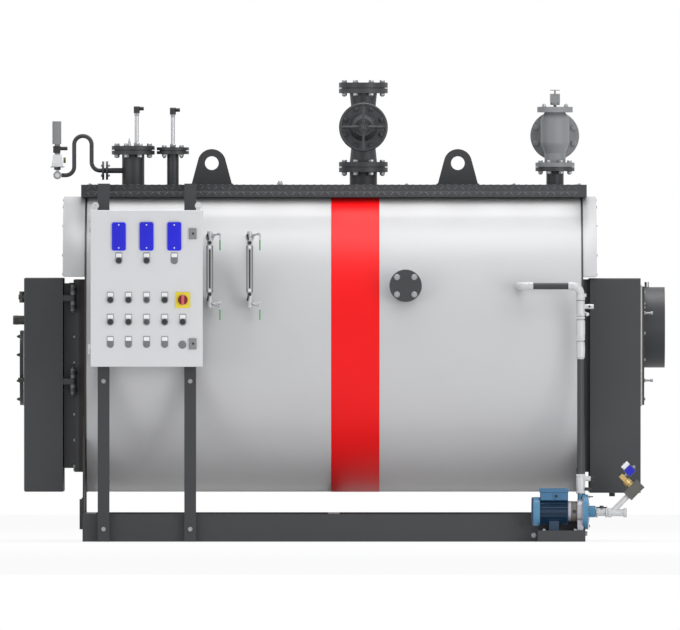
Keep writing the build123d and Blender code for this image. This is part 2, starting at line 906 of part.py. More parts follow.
# Walkway: a deck with turned-down edges and cross ribs, standing on the crown of the barrel
with BuildPart() as walkway:
    with BuildSketch(Plane.YZ.offset(-walkway_end)):
        with Locations((0, walkway_top)):
            Rectangle(walkway_width, walkway_deck, align=(Align.CENTER, Align.MAX))
        for side in (-1, 1):
            with Locations((side * (walkway_width - walkway_skirt) / 2, walkway_top)):
                Rectangle(walkway_skirt, walkway_height, align=(Align.CENTER, Align.MAX))
            with Locations((side * bearer_y, walkway_top)):
                Rectangle(bearer_thick, 2 * walkway_height, align=(Align.CENTER, Align.MAX))
    extrude(amount=2 * walkway_end)
    rib_height = walkway_height - walkway_rib_gap
    rib_pitch = (2 * walkway_end - walkway_rib) / (walkway_rib_count - 1)
    with Locations((0, 0, walkway_top - rib_height / 2)):
        with GridLocations(rib_pitch, 1, walkway_rib_count, 1):
            Box(walkway_rib, walkway_width, rib_height)
    with Locations((0, 0, axis_z)):
        Cylinder(barrel_radius + end_plate_lip, 2 * walkway_end, rotation=ALONG_X, mode=Mode.SUBTRACT)
    extrude(crown_openings(nozzle_clearance), amount=barrel_radius, mode=Mode.SUBTRACT)
write_piece(walkway, "walkway")

# Lifting lugs through slots in the walkway
for name, x in (("lug_front", lug_front_x), ("lug_rear", lug_rear_x)):
    with BuildPart() as lug:
        with BuildSketch(Plane.XZ.offset(-lug_thick / 2)):
            with Locations((x, lug_hole_z)):
                Circle(lug_head_radius)
            with Locations((x, nozzle_root)):
                Rectangle(lug_base_width, walkway_top - nozzle_root, align=(Align.CENTER, Align.MIN))
            make_hull()
            with Locations((x, lug_hole_z)):
                Circle(lug_hole_radius, mode=Mode.SUBTRACT)
        extrude(amount=lug_thick)
    write_piece(lug, name)

# Flanged nozzles for the level chamber and the second probe, blind flanges on top
with BuildPart() as probe_nozzles:
    for x, pipe, disc, low_z, thick in (
        (chamber_x, chamber_pipe_radius, chamber_flange_radius, chamber_flange_z, chamber_flange_thick),
        (probe_x, probe_pipe_radius, probe_flange_radius, probe_flange_z, probe_flange_thick),
    ):
        with Locations((x, 0, nozzle_root)):
            Cylinder(pipe, low_z - nozzle_root, align=UP)
        with Locations((x, 0, low_z)):
            Cylinder(disc, thick, align=UP)
            Cylinder(disc - slit_depth, 2 * thick + flange_slit, align=UP)
        with Locations((x, 0, low_z + thick + flange_slit)):
            Cylinder(disc, thick, align=UP)
chamber_lid_z = chamber_flange_z + 2 * chamber_flange_thick + flange_slit
probe_lid_z = probe_flange_z + 2 * probe_flange_thick + flange_slit
write_piece(probe_nozzles, "probe_nozzles")

# Level probes: rods with angled plugs, and the small cone vent beside the first
with BuildPart() as level_probes:
    for x, lid_z in ((chamber_x + chamber_probe_offset, chamber_lid_z), (probe_x, probe_lid_z)):
        with Locations((x, 0, lid_z)):
            Cylinder(probe_rod_radius, probe_rod_length, align=UP)
        with Locations((x, 0, lid_z + probe_rod_length)):
            Cylinder(plug_radius, plug_height, align=UP)
        with Locations((x + plug_spout_length / 2, 0, lid_z + probe_rod_length + plug_spout_rise)):
            Cylinder(plug_spout_radius, plug_spout_length, rotation=ALONG_X)
    with Locations((chamber_x + chamber_vent_offset, 0, chamber_lid_z)):
        Cone(chamber_vent_radius, chamber_vent_tip, chamber_vent_height, align=UP)
write_piece(level_probes, "level_probes")

# Siphon tube: one bent tube from the level chamber to the pressure switch
with BuildPart() as siphon_pipe:
    branch_length_x = chamber_x - chamber_pipe_radius - siphon_flange_x
    with Locations((siphon_flange_x + branch_length_x / 2, 0, siphon_z)):
        Cylinder(siphon_branch_radius, branch_length_x + siphon_branch_length_extra, rotation=ALONG_X)
    with Locations((siphon_flange_x, 0, siphon_z)):
        Cylinder(siphon_flange_radius, siphon_flange_thick, rotation=ALONG_X)
    with Locations((siphon_flange_x + siphon_flange_thick + siphon_flange_gap, 0, siphon_z)):
        Cylinder(siphon_flange_radius, siphon_flange_thick, rotation=ALONG_X)
    with Locations((chamber_x, 0, siphon_z)):
        Cylinder(chamber_pipe_radius, 2 * siphon_flange_radius, mode=Mode.SUBTRACT)
    with BuildLine() as siphon_route:
        FilletPolyline(
            (siphon_flange_x, 0, siphon_z),
            (siphon_right_x, 0, siphon_z),
            (siphon_right_x, 0, siphon_top_z),
            (siphon_left_x, 0, siphon_top_z),
            (siphon_left_x, 0, siphon_low_z),
            (siphon_end_x, 0, siphon_low_z),
            radius=siphon_bend,
        )
    with BuildSketch(Plane(origin=siphon_route.line @ 0, z_dir=siphon_route.line % 0)):
        Circle(siphon_tube_radius)
    sweep(path=siphon_route.line)
write_piece(siphon_pipe, "siphon_pipe")

# Pressure switch on the end of the siphon
with BuildPart() as pressure_switch:
    with Locations((switch_x, 0, siphon_low_z)):
        Cylinder(switch_ball_radius, 2 * switch_ball_radius, rotation=ALONG_FRONT)
        Cylinder(switch_neck_radius, switch_box_low - siphon_low_z, align=UP)
    with BuildSketch(Plane.XY.offset(switch_box_low)):
        with Locations((switch_x, 0)):
            Rectangle(switch_brim_width, switch_depth)
    extrude(amount=switch_brim_height)
    with BuildSketch(Plane.XY.offset(switch_box_low + switch_brim_height)):
        with Locations((switch_x, 0)):
            Rectangle(switch_box_low_width, switch_depth - switch_low_inset)
    with BuildSketch(Plane.XY.offset(switch_box_high)):
        with Locations((switch_x, 0)):
            Rectangle(switch_box_high_width, switch_depth - switch_high_inset)
    loft()
write_piece(pressure_switch, "pressure_switch")

# Pressure transmitter: an angled plug under an upright round body
with BuildPart() as pressure_transmitter:
    with Locations((switch_x, 0, switch_box_high)):
        Cylinder(transmitter_plug_radius, transmitter_plug_top - switch_box_high, align=UP)
    spout_x = switch_x + transmitter_spout_length / 2
    with Locations((spout_x, 0, switch_box_high + transmitter_spout_rise)):
        Cylinder(transmitter_spout_radius, transmitter_spout_length, rotation=ALONG_X)
    with Locations((transmitter_x, 0, transmitter_plug_top)):
        Cylinder(transmitter_radius, transmitter_height, align=UP)
write_piece(pressure_transmitter, "pressure_transmitter")

# Steam nozzle with its flange
with BuildPart() as steam_stub:
    stub_flange_z = steam_stub_top - steam_flange_thick
    with Locations((steam_x, 0, nozzle_root)):
        Cylinder(steam_pipe_radius, stub_flange_z - nozzle_root, align=UP)
    with Locations((steam_x, 0, stub_flange_z)):
        Cylinder(steam_flange_radius, steam_flange_thick - flange_slit / 2, align=UP)
        Cylinder(steam_flange_radius - slit_depth, steam_flange_thick, align=UP)
write_piece(steam_stub, "steam_stub")

# Steam valve body: two flanges, tapered necks and a round belly turned about the pipe axis
neck_z = steam_flange_thick
belly_half = sqrt(valve_belly_radius**2 - valve_neck_radius**2)
with BuildPart() as steam_valve_body:
    with BuildSketch(Plane.XZ):
        with BuildLine():
            Polyline(
                (steam_x, valve_top_z),
                (steam_x + steam_flange_radius - slit_depth, valve_top_z),
                (steam_x + steam_flange_radius - slit_depth, valve_top_z - flange_slit / 2),
                (steam_x + steam_flange_radius, valve_top_z - flange_slit / 2),
                (steam_x + steam_flange_radius, valve_top_z - neck_z),
                (steam_x + steam_pipe_radius, valve_top_z - neck_z),
                (steam_x + valve_neck_radius, valve_centre_z + belly_half),
            )
            ThreePointArc(
                (steam_x + valve_neck_radius, valve_centre_z + belly_half),
                (steam_x + valve_belly_radius, valve_centre_z),
                (steam_x + valve_neck_radius, valve_centre_z - belly_half),
            )
            Polyline(
                (steam_x + valve_neck_radius, valve_centre_z - belly_half),
                (steam_x + steam_pipe_radius, steam_stub_top + neck_z),
                (steam_x + steam_flange_radius, steam_stub_top + neck_z),
                (steam_x + steam_flange_radius, steam_stub_top + flange_slit / 2),
                (steam_x + steam_flange_radius - slit_depth, steam_stub_top + flange_slit / 2),
                (steam_x + steam_flange_radius - slit_depth, steam_stub_top),
                (steam_x, steam_stub_top),
                (steam_x, valve_top_z),
            )
        make_face()
    revolve(axis=Axis((steam_x, 0, 0), (0, 0, 1)))
    with Locations((steam_x, -bonnet_neck_length / 2, valve_centre_z)):
        Cylinder(bonnet_neck_radius, bonnet_neck_length, rotation=ALONG_FRONT)
    with Locations((steam_x, -bonnet_neck_length + bonnet_flange_thick / 2, valve_centre_z)):
        Cylinder(bonnet_flange_radius, bonnet_flange_thick, rotation=ALONG_FRONT)
    with Locations((steam_x, 0, valve_top_z - valve_port_depth)):
        Cylinder(valve_port_radius, valve_port_depth, align=UP, mode=Mode.SUBTRACT)
write_piece(steam_valve_body, "steam_valve_body")

# Valve bonnet: flange, cone, gland and stem
cone_y = bonnet_neck_length + bonnet_flange_thick
gland_y = cone_y + bonnet_cone_length
stem_y = gland_y + gland_length
with BuildPart() as steam_valve_bonnet:
    with BuildSketch(Plane.XZ.offset(bonnet_neck_length)):
        with Locations((steam_x, valve_centre_z)):
            Circle(bonnet_flange_radius)
    extrude(amount=bonnet_flange_thick)
    with BuildSketch(Plane.XZ.offset(cone_y)):
        with Locations((steam_x, valve_centre_z)):
            Circle(bonnet_neck_radius)
    with BuildSketch(Plane.XZ.offset(gland_y)):
        with Locations((steam_x, valve_centre_z)):
            Circle(bonnet_cone_radius)
    loft()
    with BuildSketch(Plane.XZ.offset(gland_y)):
        with Locations((steam_x, valve_centre_z)):
            Circle(gland_radius)
    extrude(amount=gland_length)
    with BuildSketch(Plane.XZ.offset(stem_y)):
        with Locations((steam_x, valve_centre_z)):
            Circle(stem_radius)
    extrude(amount=stem_length)
write_piece(steam_valve_bonnet, "steam_valve_bonnet")

# Handwheel: a round rim on four spokes
wheel_y = stem_y + wheel_stand_off + wheel_hub_length / 2
rim_centre_radius = wheel_radius - wheel_rim_radius
with BuildPart() as handwheel:
    with Locations(Plane(origin=(steam_x, -wheel_y, valve_centre_z), x_dir=(1, 0, 0), z_dir=(0, -1, 0))):
        Torus(rim_centre_radius, wheel_rim_radius)
        Cylinder(wheel_hub_radius, wheel_hub_length)
        with PolarLocations(0, wheel_spoke_count):
            Cylinder(wheel_spoke_radius, rim_centre_radius, rotation=ALONG_X, align=UP)
        Cylinder(stem_radius + stem_gap, 2 * wheel_hub_length, mode=Mode.SUBTRACT)
write_piece(handwheel, "handwheel")

# Counterflange on top of the steam valve, bored for the steam pipe
with BuildPart() as steam_counterflange:
    with Locations((steam_x, 0, valve_top_z)):
        Cylinder(steam_flange_radius - slit_depth, steam_flange_thick, align=UP)
    with Locations((steam_x, 0, valve_top_z + flange_slit / 2)):
        Cylinder(steam_flange_radius, steam_flange_thick, align=UP)
    with Locations((steam_x, 0, valve_top_z)):
        Cylinder(steam_bore_radius, 2 * steam_flange_thick, align=UP, mode=Mode.SUBTRACT)
write_piece(steam_counterflange, "steam_counterflange")

# Safety valve nozzle
with BuildPart() as safety_stub:
    stub_flange_z = safety_stub_top - safety_flange_thick
    with Locations((safety_x, 0, nozzle_root)):
        Cylinder(safety_pipe_radius, stub_flange_z - nozzle_root, align=UP)
    with Locations((safety_x, 0, stub_flange_z)):
        Cylinder(safety_flange_radius, safety_flange_thick - flange_slit / 2, align=UP)
        Cylinder(safety_flange_radius - slit_depth, safety_flange_thick, align=UP)
write_piece(safety_stub, "safety_stub")

# Safety valve body turned about the pipe axis, with its flanged outlet towards the back
with BuildPart() as safety_valve_body:
    with BuildSketch(Plane.XZ) as safety_profile:
        with BuildLine():
            Polyline(
                (safety_x, safety_stub_top),
                (safety_x + safety_flange_radius, safety_stub_top),
                (safety_x + safety_flange_radius, safety_stub_top + safety_flange_thick),
                (safety_x + safety_neck_radius, safety_stub_top + safety_flange_thick),
                (safety_x + safety_neck_radius, safety_neck_top),
                (safety_x + safety_body_radius, safety_body_low),
                (safety_x + safety_body_radius, safety_body_top),
                (safety_x + safety_throat_radius, safety_bonnet_z),
                (safety_x + safety_bonnet_radius, safety_bonnet_z),
                (safety_x + safety_bonnet_radius, safety_bonnet_z + safety_bonnet_thick),
                (safety_x, safety_bonnet_z + safety_bonnet_thick),
                close=True,
            )
        make_face()
        widest = safety_profile.vertices().filter_by(
            lambda corner: isclose(corner.X, safety_x + safety_body_radius)
        )
        fillet(widest, safety_blend)
    revolve(axis=Axis((safety_x, 0, 0), (0, 0, 1)))
    with BuildSketch(Plane.XZ):
        with Locations((safety_x, outlet_z)):
            Circle(outlet_pipe_radius)
    extrude(amount=-outlet_reach)
    with BuildSketch(Plane.XZ.offset(-outlet_reach)):
        with Locations((safety_x, outlet_z)):
            Circle(outlet_flange_radius)
    extrude(amount=outlet_flange_thick)
    with BuildSketch(Plane.XZ.offset(-outlet_reach)):
        with Locations((safety_x, outlet_z)):
            Circle(outlet_bore_radius)
    extrude(amount=outlet_bore_depth, mode=Mode.SUBTRACT)
    with BuildSketch(Plane.XZ.offset(-outlet_reach)):
        with Locations((safety_x, outlet_z)):
            with PolarLocations(outlet_bolt_circle, outlet_bolt_count, 180 / outlet_bolt_count):
                Circle(outlet_bolt_radius)
    extrude(amount=outlet_flange_thick, mode=Mode.SUBTRACT)
write_piece(safety_valve_body, "safety_valve_body")

# Safety valve bonnet: flange, stem with its lock ring, square cap and the test button
bonnet_z = safety_bonnet_z + safety_bonnet_thick
stem_z = bonnet_z + safety_bonnet_thick
ring_z = stem_z + safety_stem_height
cap_z = ring_z + safety_ring_thick
spindle_z = cap_z + safety_cap_height
with BuildPart() as safety_valve_bonnet:
    with Locations((safety_x, 0, bonnet_z)):
        Cylinder(safety_bonnet_radius, safety_bonnet_thick, align=UP)
    with Locations((safety_x, 0, stem_z)):
        Cylinder(safety_stem_radius, safety_stem_height, align=UP)
    with Locations((safety_x, 0, ring_z)):
        Cylinder(safety_ring_radius, safety_ring_thick, align=UP)
    with Locations((safety_x, 0, cap_z)):
        Box(safety_cap_width, safety_cap_width, safety_cap_height, align=UP)
    with Locations((safety_x, -safety_cap_width / 2, cap_z + safety_window_rise)):
        Box(
            safety_window_width, 2 * safety_window_depth, safety_window_height,
            align=UP, mode=Mode.SUBTRACT,
        )
    with Locations((safety_x, 0, spindle_z)):
        Cylinder(safety_spindle_radius, safety_spindle_height, align=UP)
    with Locations((safety_x, 0, spindle_z + safety_spindle_height)):
        Cylinder(safety_button_radius, safety_button_height, align=UP)
write_piece(safety_valve_bonnet, "safety_valve_bonnet")

# Panel posts: upright flats that hook onto the edge of the walkway
walkway_edge_y = -walkway_width / 2
for name, side in (("post_left", -1), ("post_right", 1)):
    with BuildPart() as post:
        x = panel_x + side * post_spread / 2
        with Locations((x, (post_front_y + post_back_y) / 2, 0)):
            Box(post_width, post_depth, walkway_top, align=UP)
        arm_length = walkway_edge_y - post_back_y
        with Locations((x, post_back_y + arm_length / 2, walkway_top - post_arm)):
            Box(post_width, arm_length, post_arm, align=UP)
        tongue_y = (post_front_y + walkway_edge_y + tongue_length) / 2
        with Locations((x, tongue_y, walkway_top)):
            Box(post_width, walkway_edge_y + tongue_length - post_front_y, tongue_thick, align=UP)
    write_piece(post, name)

# Panel enclosure: a sheet steel box, open to the front behind its door
panel_mid_z = panel_low_z + panel_height / 2
with BuildPart() as panel_box:
    with BuildSketch(Plane.XZ.offset(-post_front_y)):
        with Locations((panel_x, panel_mid_z)):
            Rectangle(panel_width, panel_height)
    extrude(amount=panel_depth)
    with BuildSketch(Plane.XZ.offset(-post_front_y + panel_wall)):
        with Locations((panel_x, panel_mid_z)):
            Rectangle(panel_width - 2 * panel_wall, panel_height - 2 * panel_wall)
    extrude(amount=panel_depth, mode=Mode.SUBTRACT)
    for side in (-1, 1):
        x = panel_x + side * panel_ear_spread / 2
        ear_z = panel_low_z + panel_height + panel_ear_rise + panel_ear_radius
        with BuildSketch(Plane.XZ.offset(-post_front_y)):
            with Locations((x, ear_z)):
                Circle(panel_ear_radius)
                Rectangle(
                    panel_ear_radius, panel_ear_radius + panel_ear_rise, align=(Align.CENTER, Align.MAX)
                )
                Circle(panel_ear_hole, mode=Mode.SUBTRACT)
        extrude(amount=panel_ear_thick)
    for z in (panel_low_z + panel_hinge_inset, panel_low_z + panel_height - panel_hinge_inset):
        with Locations((panel_hinge_x, panel_hinge_y, z - panel_hinge_half)):
            Cylinder(panel_hinge_radius, panel_hinge_half, align=UP)
            Cylinder(panel_hinge_pin, 2 * panel_hinge_half, align=UP)
        leaf_y = panel_rim_y + panel_hinge_radius
        with Locations((panel_left_x - panel_hinge_radius / 2, leaf_y, z - panel_hinge_half)):
            Box(panel_hinge_radius, 2 * panel_hinge_radius, panel_hinge_half, align=UP)
write_piece(panel_box, "panel_box")

# Panel door, hinged on its left edge
with BuildPart() as panel_door:
    with BuildSketch(Plane.XZ.offset(-door_rear_y)):
        with Locations((panel_x, panel_mid_z)):
            Rectangle(panel_width, panel_height)
    extrude(amount=panel_door_thick)
    chamfer(panel_door.faces().sort_by(Axis.Y)[0].edges(), panel_door_edge)
    for z in (panel_low_z + panel_hinge_inset, panel_low_z + panel_height - panel_hinge_inset):
        with Locations((panel_hinge_x, panel_hinge_y, z + panel_hinge_gap)):
            Cylinder(panel_hinge_radius, panel_hinge_half, align=UP)
        leaf_y = door_rear_y - panel_hinge_radius
        with Locations((panel_left_x - panel_hinge_radius / 2, leaf_y, z + panel_hinge_gap)):
            Box(panel_hinge_radius, 2 * panel_hinge_radius, panel_hinge_half, align=UP)
        with Locations((panel_hinge_x, panel_hinge_y, z)):
            Cylinder(
                panel_hinge_pin + panel_hinge_gap, 2 * panel_hinge_half, align=UP, mode=Mode.SUBTRACT
            )
write_piece(panel_door, "panel_door")

# Three displays on the panel door
with BuildPart() as panel_displays:
    with BuildSketch(Plane.XZ.offset(-door_face_y)):
        with Locations((panel_x, display_z)):
            with GridLocations(display_spread, 1, 3, 1):
                Rectangle(display_width, display_height)
    extrude(amount=display_thick)
write_piece(panel_displays, "panel_displays")

# Buttons, lamps and locks on the panel door
with BuildPart() as panel_buttons:
    with BuildSketch(Plane.XZ.offset(-door_face_y)):
        with Locations((panel_x, top_row_z)):
            with GridLocations(display_spread, 1, 3, 1):
                Circle(button_radius)
        for z, count in ((row_one_z, row_one_count), (row_two_z, row_count), (row_three_z, row_count)):
            for place in range(count):
                with Locations((panel_x + (place - 2) * column_pitch, z)):
                    Circle(button_radius)
    extrude(amount=button_length)
    with BuildSketch(Plane.XZ.offset(-door_face_y)):
        with Locations((panel_x + lock_offset, lock_high_z), (panel_x + lock_offset, row_three_z)):
            Rectangle(lock_width, lock_height)
    extrude(amount=lock_thick)
write_piece(panel_buttons, "panel_buttons")

# Main switch: a square plate and a turning knob
switch_x_place = panel_x + 2 * column_pitch
plate_face_y = door_face_y - switch_plate_thick
with BuildPart() as switch_plate:
    with BuildSketch(Plane.XZ.offset(-door_face_y)):
        with Locations((switch_x_place, row_one_z)):
            Rectangle(switch_plate_width, switch_plate_height)
    extrude(amount=switch_plate_thick)
write_piece(switch_plate, "switch_plate")

with BuildPart() as switch_knob:
    with BuildSketch(Plane.XZ.offset(-plate_face_y + knob_gap)):
        with Locations((switch_x_place, row_one_z)):
            Circle(knob_radius)
    extrude(amount=knob_length)
write_piece(switch_knob, "switch_knob")

# Level gauges: a slotted body between two cocks, on two nozzles from the barrel
for name, x in (("level_gauge_left", gauge_left_x), ("level_gauge_right", gauge_right_x)):
    gauge_front_y = gauge_y - gauge_depth / 2
    with BuildPart() as gauge:
        with Locations((x, gauge_y, gauge_low_z)):
            Box(gauge_width, gauge_depth, gauge_high_z - gauge_low_z, align=UP)
        chamfer(gauge.edges().filter_by(Axis.Z), gauge_bevel)
        with BuildSketch(Plane.XZ.offset(-gauge_front_y)):
            with Locations((x, (gauge_low_z + gauge_high_z) / 2)):
                SlotOverall(
                    gauge_high_z - gauge_low_z - 2 * gauge_slot_margin, gauge_slot_width, rotation=90
                )
        extrude(amount=-gauge_slot_depth, mode=Mode.SUBTRACT)
        with Locations((x, gauge_y, cock_low_z)):
            Cylinder(cock_radius, gauge_low_z - cock_low_z, align=UP)
        with Locations((x, gauge_y, gauge_high_z)):
            Cylinder(cock_radius, cock_high_z - gauge_high_z, align=UP)
        for z in (gauge_nozzle_low_z, gauge_nozzle_high_z):
            with BuildSketch(Plane.XZ.offset(side_root)):
                with Locations((x, z)):
                    Circle(gauge_nozzle_radius)
            extrude(amount=-gauge_y - side_root)
            with BuildSketch(Plane.XZ.offset(-gauge_y - cock_radius - 2 * gauge_union_length)):
                with Locations((x, z)):
                    Circle(gauge_union_radius)
            extrude(amount=gauge_union_length)
        for z in (lever_low_z, lever_high_z):
            with Locations((x + lever_stem_length / 2, gauge_y, z)):
                Cylinder(lever_stem_radius, lever_stem_length, rotation=ALONG_X)
    write_piece(gauge, name)
    for place, z in (("high", lever_high_z), ("low", lever_low_z)):
        with BuildPart() as lever:
            lever_x = x + lever_stem_length - lever_thick
            with BuildSketch(Plane.YZ.offset(lever_x)):
                with Locations((gauge_y, z)):
                    Circle(lever_eye_radius)
                    Rectangle(lever_grip_width / 2, lever_drop, align=(Align.CENTER, Align.MAX))
                    Circle(lever_stem_radius + lever_eye_gap, mode=Mode.SUBTRACT)
                with Locations((gauge_y, z - lever_drop)):
                    Rectangle(lever_grip_width, lever_grip_length, align=(Align.CENTER, Align.MIN))
            extrude(amount=lever_thick)
        write_piece(lever, name + "_lever_" + place)

# Hand hole: a short neck with a flange and a blind cover
with BuildPart() as hand_hole:
    hand_hole_low = -hand_hole_face_y - 2 * hand_hole_thick - flange_slit
    with BuildSketch(Plane.XZ.offset(side_root)):
        with Locations((hand_hole_x, hand_hole_z)):
            Circle(hand_hole_neck_radius)
    extrude(amount=hand_hole_low - side_root)
    for offset_y in (hand_hole_low, hand_hole_low + hand_hole_thick + flange_slit):
        with BuildSketch(Plane.XZ.offset(offset_y)):
            with Locations((hand_hole_x, hand_hole_z)):
                Circle(hand_hole_radius)
        extrude(amount=hand_hole_thick)
    with BuildSketch(Plane.XZ.offset(hand_hole_low)):
        with Locations((hand_hole_x, hand_hole_z)):
            Circle(hand_hole_radius - slit_depth)
    extrude(amount=-hand_hole_face_y - hand_hole_low)
write_piece(hand_hole, "hand_hole")

# Feed line: out of the barrel, along it and down to the pump
with BuildPart() as feed_pipe:
    with BuildLine() as feed_route:
        FilletPolyline(
            (feed_x, -side_root, feed_z), (feed_x, feed_y, feed_z), (feed_joint_x, feed_y, feed_z),
            radius=feed_bend,
        )
    with BuildSketch(Plane(origin=feed_route.line @ 0, z_dir=feed_route.line % 0)):
        Circle(feed_radius)
    sweep(path=feed_route.line)
write_piece(feed_pipe, "feed_pipe")

with BuildPart() as feed_riser:
    with BuildLine() as riser_route:
        FilletPolyline(
            (feed_joint_x, feed_y, feed_z), (riser_x, feed_y, feed_z), (riser_x, feed_y, discharge_top),
            radius=riser_bend,
        )
    with BuildSketch(Plane(origin=riser_route.line @ 0, z_dir=riser_route.line % 0)):
        Circle(feed_radius)
    sweep(path=riser_route.line)
    for low, length in (
        (discharge_top, riser_valve_length),
        (feed_z - riser_cock_drop, riser_cock_length),
        (feed_z - riser_union_drop, riser_union_length),
        (feed_z - riser_nipple_drop, riser_nipple_length),
        (feed_z - riser_collar_drop, riser_collar_length),
    ):
        with Locations((riser_x, feed_y, low)):
            Cylinder(union_radius, length, align=UP)
write_piece(feed_riser, "feed_riser")

# Pump bracket: a folded shelf on the web of the base channel
bracket_mid_x = bracket_left + bracket_length / 2
with BuildPart() as pump_bracket:
    with Locations((bracket_mid_x, post_back_y - bracket_depth / 2, bracket_low)):
        Box(bracket_length, bracket_depth, bracket_high - bracket_low, align=UP)
        Box(
            bracket_length - 2 * bracket_wall, bracket_depth - 2 * bracket_wall,
            bracket_high - bracket_low - bracket_wall, align=UP, mode=Mode.SUBTRACT,
        )
write_piece(pump_bracket, "pump_bracket")

# Pump motor: fan cowl, finned body, terminal box, lantern and feet
with BuildPart() as pump_motor:
    with Locations((cowl_x + cowl_length / 2, feed_y, pump_z)):
        Cylinder(cowl_radius, cowl_length, rotation=ALONG_X)
    fillet(pump_motor.edges().sort_by(Axis.X)[0], cowl_edge)
    with BuildSketch(Plane.YZ.offset(motor_x)):
        with Locations((feed_y, pump_z)):
            Circle(motor_core_radius)
            with PolarLocations(0, fin_count):
                Rectangle(fin_radius, fin_thick, align=(Align.MIN, Align.CENTER))
    extrude(amount=motor_length)
    with Locations((motor_x + motor_length / 2, feed_y, pump_z + terminal_rise)):
        Box(motor_length, terminal_width, terminal_height, align=UP)
    with Locations((motor_x + motor_length / 2, feed_y, pump_z)):
        Box(motor_length / 2, terminal_width / 2, terminal_rise, align=UP)
    with Locations((lantern_x + lantern_length / 2, feed_y, pump_z)):
        Cylinder(lantern_radius, lantern_length, rotation=ALONG_X)
    with Locations((motor_x + motor_length / 2, feed_y, bracket_high)):
        Box(foot_width, foot_spread, pump_z - bracket_high, align=UP)
write_piece(pump_motor, "pump_motor")

# Pump casing with its suction neck and discharge boss
with BuildPart() as pump_casing:
    with Locations((pump_plate_x + pump_plate_length / 2, feed_y, pump_z)):
        Cylinder(pump_plate_radius, pump_plate_length, rotation=ALONG_X)
    volute_straight = volute_length - volute_nose_length
    with Locations((volute_x + volute_straight / 2, feed_y, pump_z)):
        Cylinder(volute_radius, volute_straight, rotation=ALONG_X)
    with Locations((pump_neck_x - volute_nose_length / 2, feed_y, pump_z)):
        Cone(volute_radius, volute_nose_radius, volute_nose_length, rotation=ALONG_X)
    with Locations((pump_neck_x + neck_length / 2, feed_y, pump_z)):
        Cylinder(suction_neck_radius, neck_length, rotation=ALONG_X)
    with Locations((riser_x, feed_y, pump_z)):
        Cylinder(discharge_radius, discharge_top - pump_z, align=UP)
    with Locations((pump_plate_x + foot_thick / 2, feed_y, bracket_high)):
        Box(foot_thick, foot_spread, pump_z - bracket_high, align=UP)
write_piece(pump_casing, "pump_casing")

# Suction line: ball valve between hexagon ends, strainer and its branch
with BuildPart() as suction_line:
    with Locations((suction_x + valve_length / 2, feed_y, suction_z)):
        Cylinder(valve_radius, valve_length, rotation=ALONG_X)
    with Locations((suction_x + valve_length / 2, feed_y, suction_z)):
        Cylinder(valve_stem_radius, handle_z + handle_height + valve_stem_rise - suction_z, align=UP)
    with Locations((strainer_x + strainer_length / 2, feed_y, suction_z)):
        Cylinder(strainer_radius, strainer_length, rotation=ALONG_X)
    for left, radius, length in (
        (suction_x, valve_hex_radius, valve_hex_length),
        (strainer_x - valve_hex_length, valve_hex_radius, valve_hex_length),
        (strainer_x, strainer_hex_radius, strainer_hex_length),
        (strainer_x + strainer_length - strainer_hex_length, strainer_hex_radius, strainer_hex_length),
    ):
        with BuildSketch(Plane.YZ.offset(left)):
            with Locations((feed_y, suction_z)):
                RegularPolygon(radius, hexagon_sides)
        extrude(amount=length)
    branch = Plane(origin=(branch_x, feed_y, suction_z), z_dir=(1, 0, 1))
    with BuildSketch(branch):
        Circle(branch_radius)
    extrude(amount=branch_length)
write_piece(suction_line, "suction_line")

with BuildPart() as suction_handle:
    with Locations((suction_x + valve_length / 2, feed_y, handle_z)):
        Box(handle_length, handle_width, handle_height, align=UP)
        Cylinder(handle_hub_radius, handle_hub_height, align=UP)
        Cylinder(valve_stem_radius + handle_gap, handle_hub_height, align=UP, mode=Mode.SUBTRACT)
write_piece(suction_handle, "suction_handle")

# Solenoid valve at the end of the branch: body, pilot on its side, coil and cable plug
with BuildPart() as feed_solenoid:
    reach = branch_length / sqrt(2)
    seat = Plane(origin=(branch_x + reach, feed_y, suction_z + reach), z_dir=(1, 0, 1))
    with BuildSketch(seat):
        Rectangle(solenoid_width, solenoid_width)
    extrude(amount=solenoid_length)
    pilot_foot = seat.from_local_coords((0, 0, pilot_offset))
    with Locations(Plane(origin=pilot_foot, x_dir=(1, 0, 1), z_dir=(-1, 0, 1))):
        Cylinder(pilot_base_radius, pilot_base_rise, align=UP)
        Box(pilot_width, pilot_width, pilot_rise, align=UP)
        with Locations((coil_tube_length / 2, 0, coil_rise + coil_size / 2)):
            Cylinder(coil_tube_radius, coil_tube_length, rotation=ALONG_X)
        with Locations((coil_offset, 0, coil_rise)):
            Box(coil_size, coil_size, coil_size, align=UP)
        with Locations((coil_plug_offset, 0, coil_rise + coil_size)):
            Box(coil_plug_length, coil_plug_width, coil_plug_height, align=UP)
write_piece(feed_solenoid, "feed_solenoid")
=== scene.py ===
import math

import bpy
from mathutils import Matrix, Vector


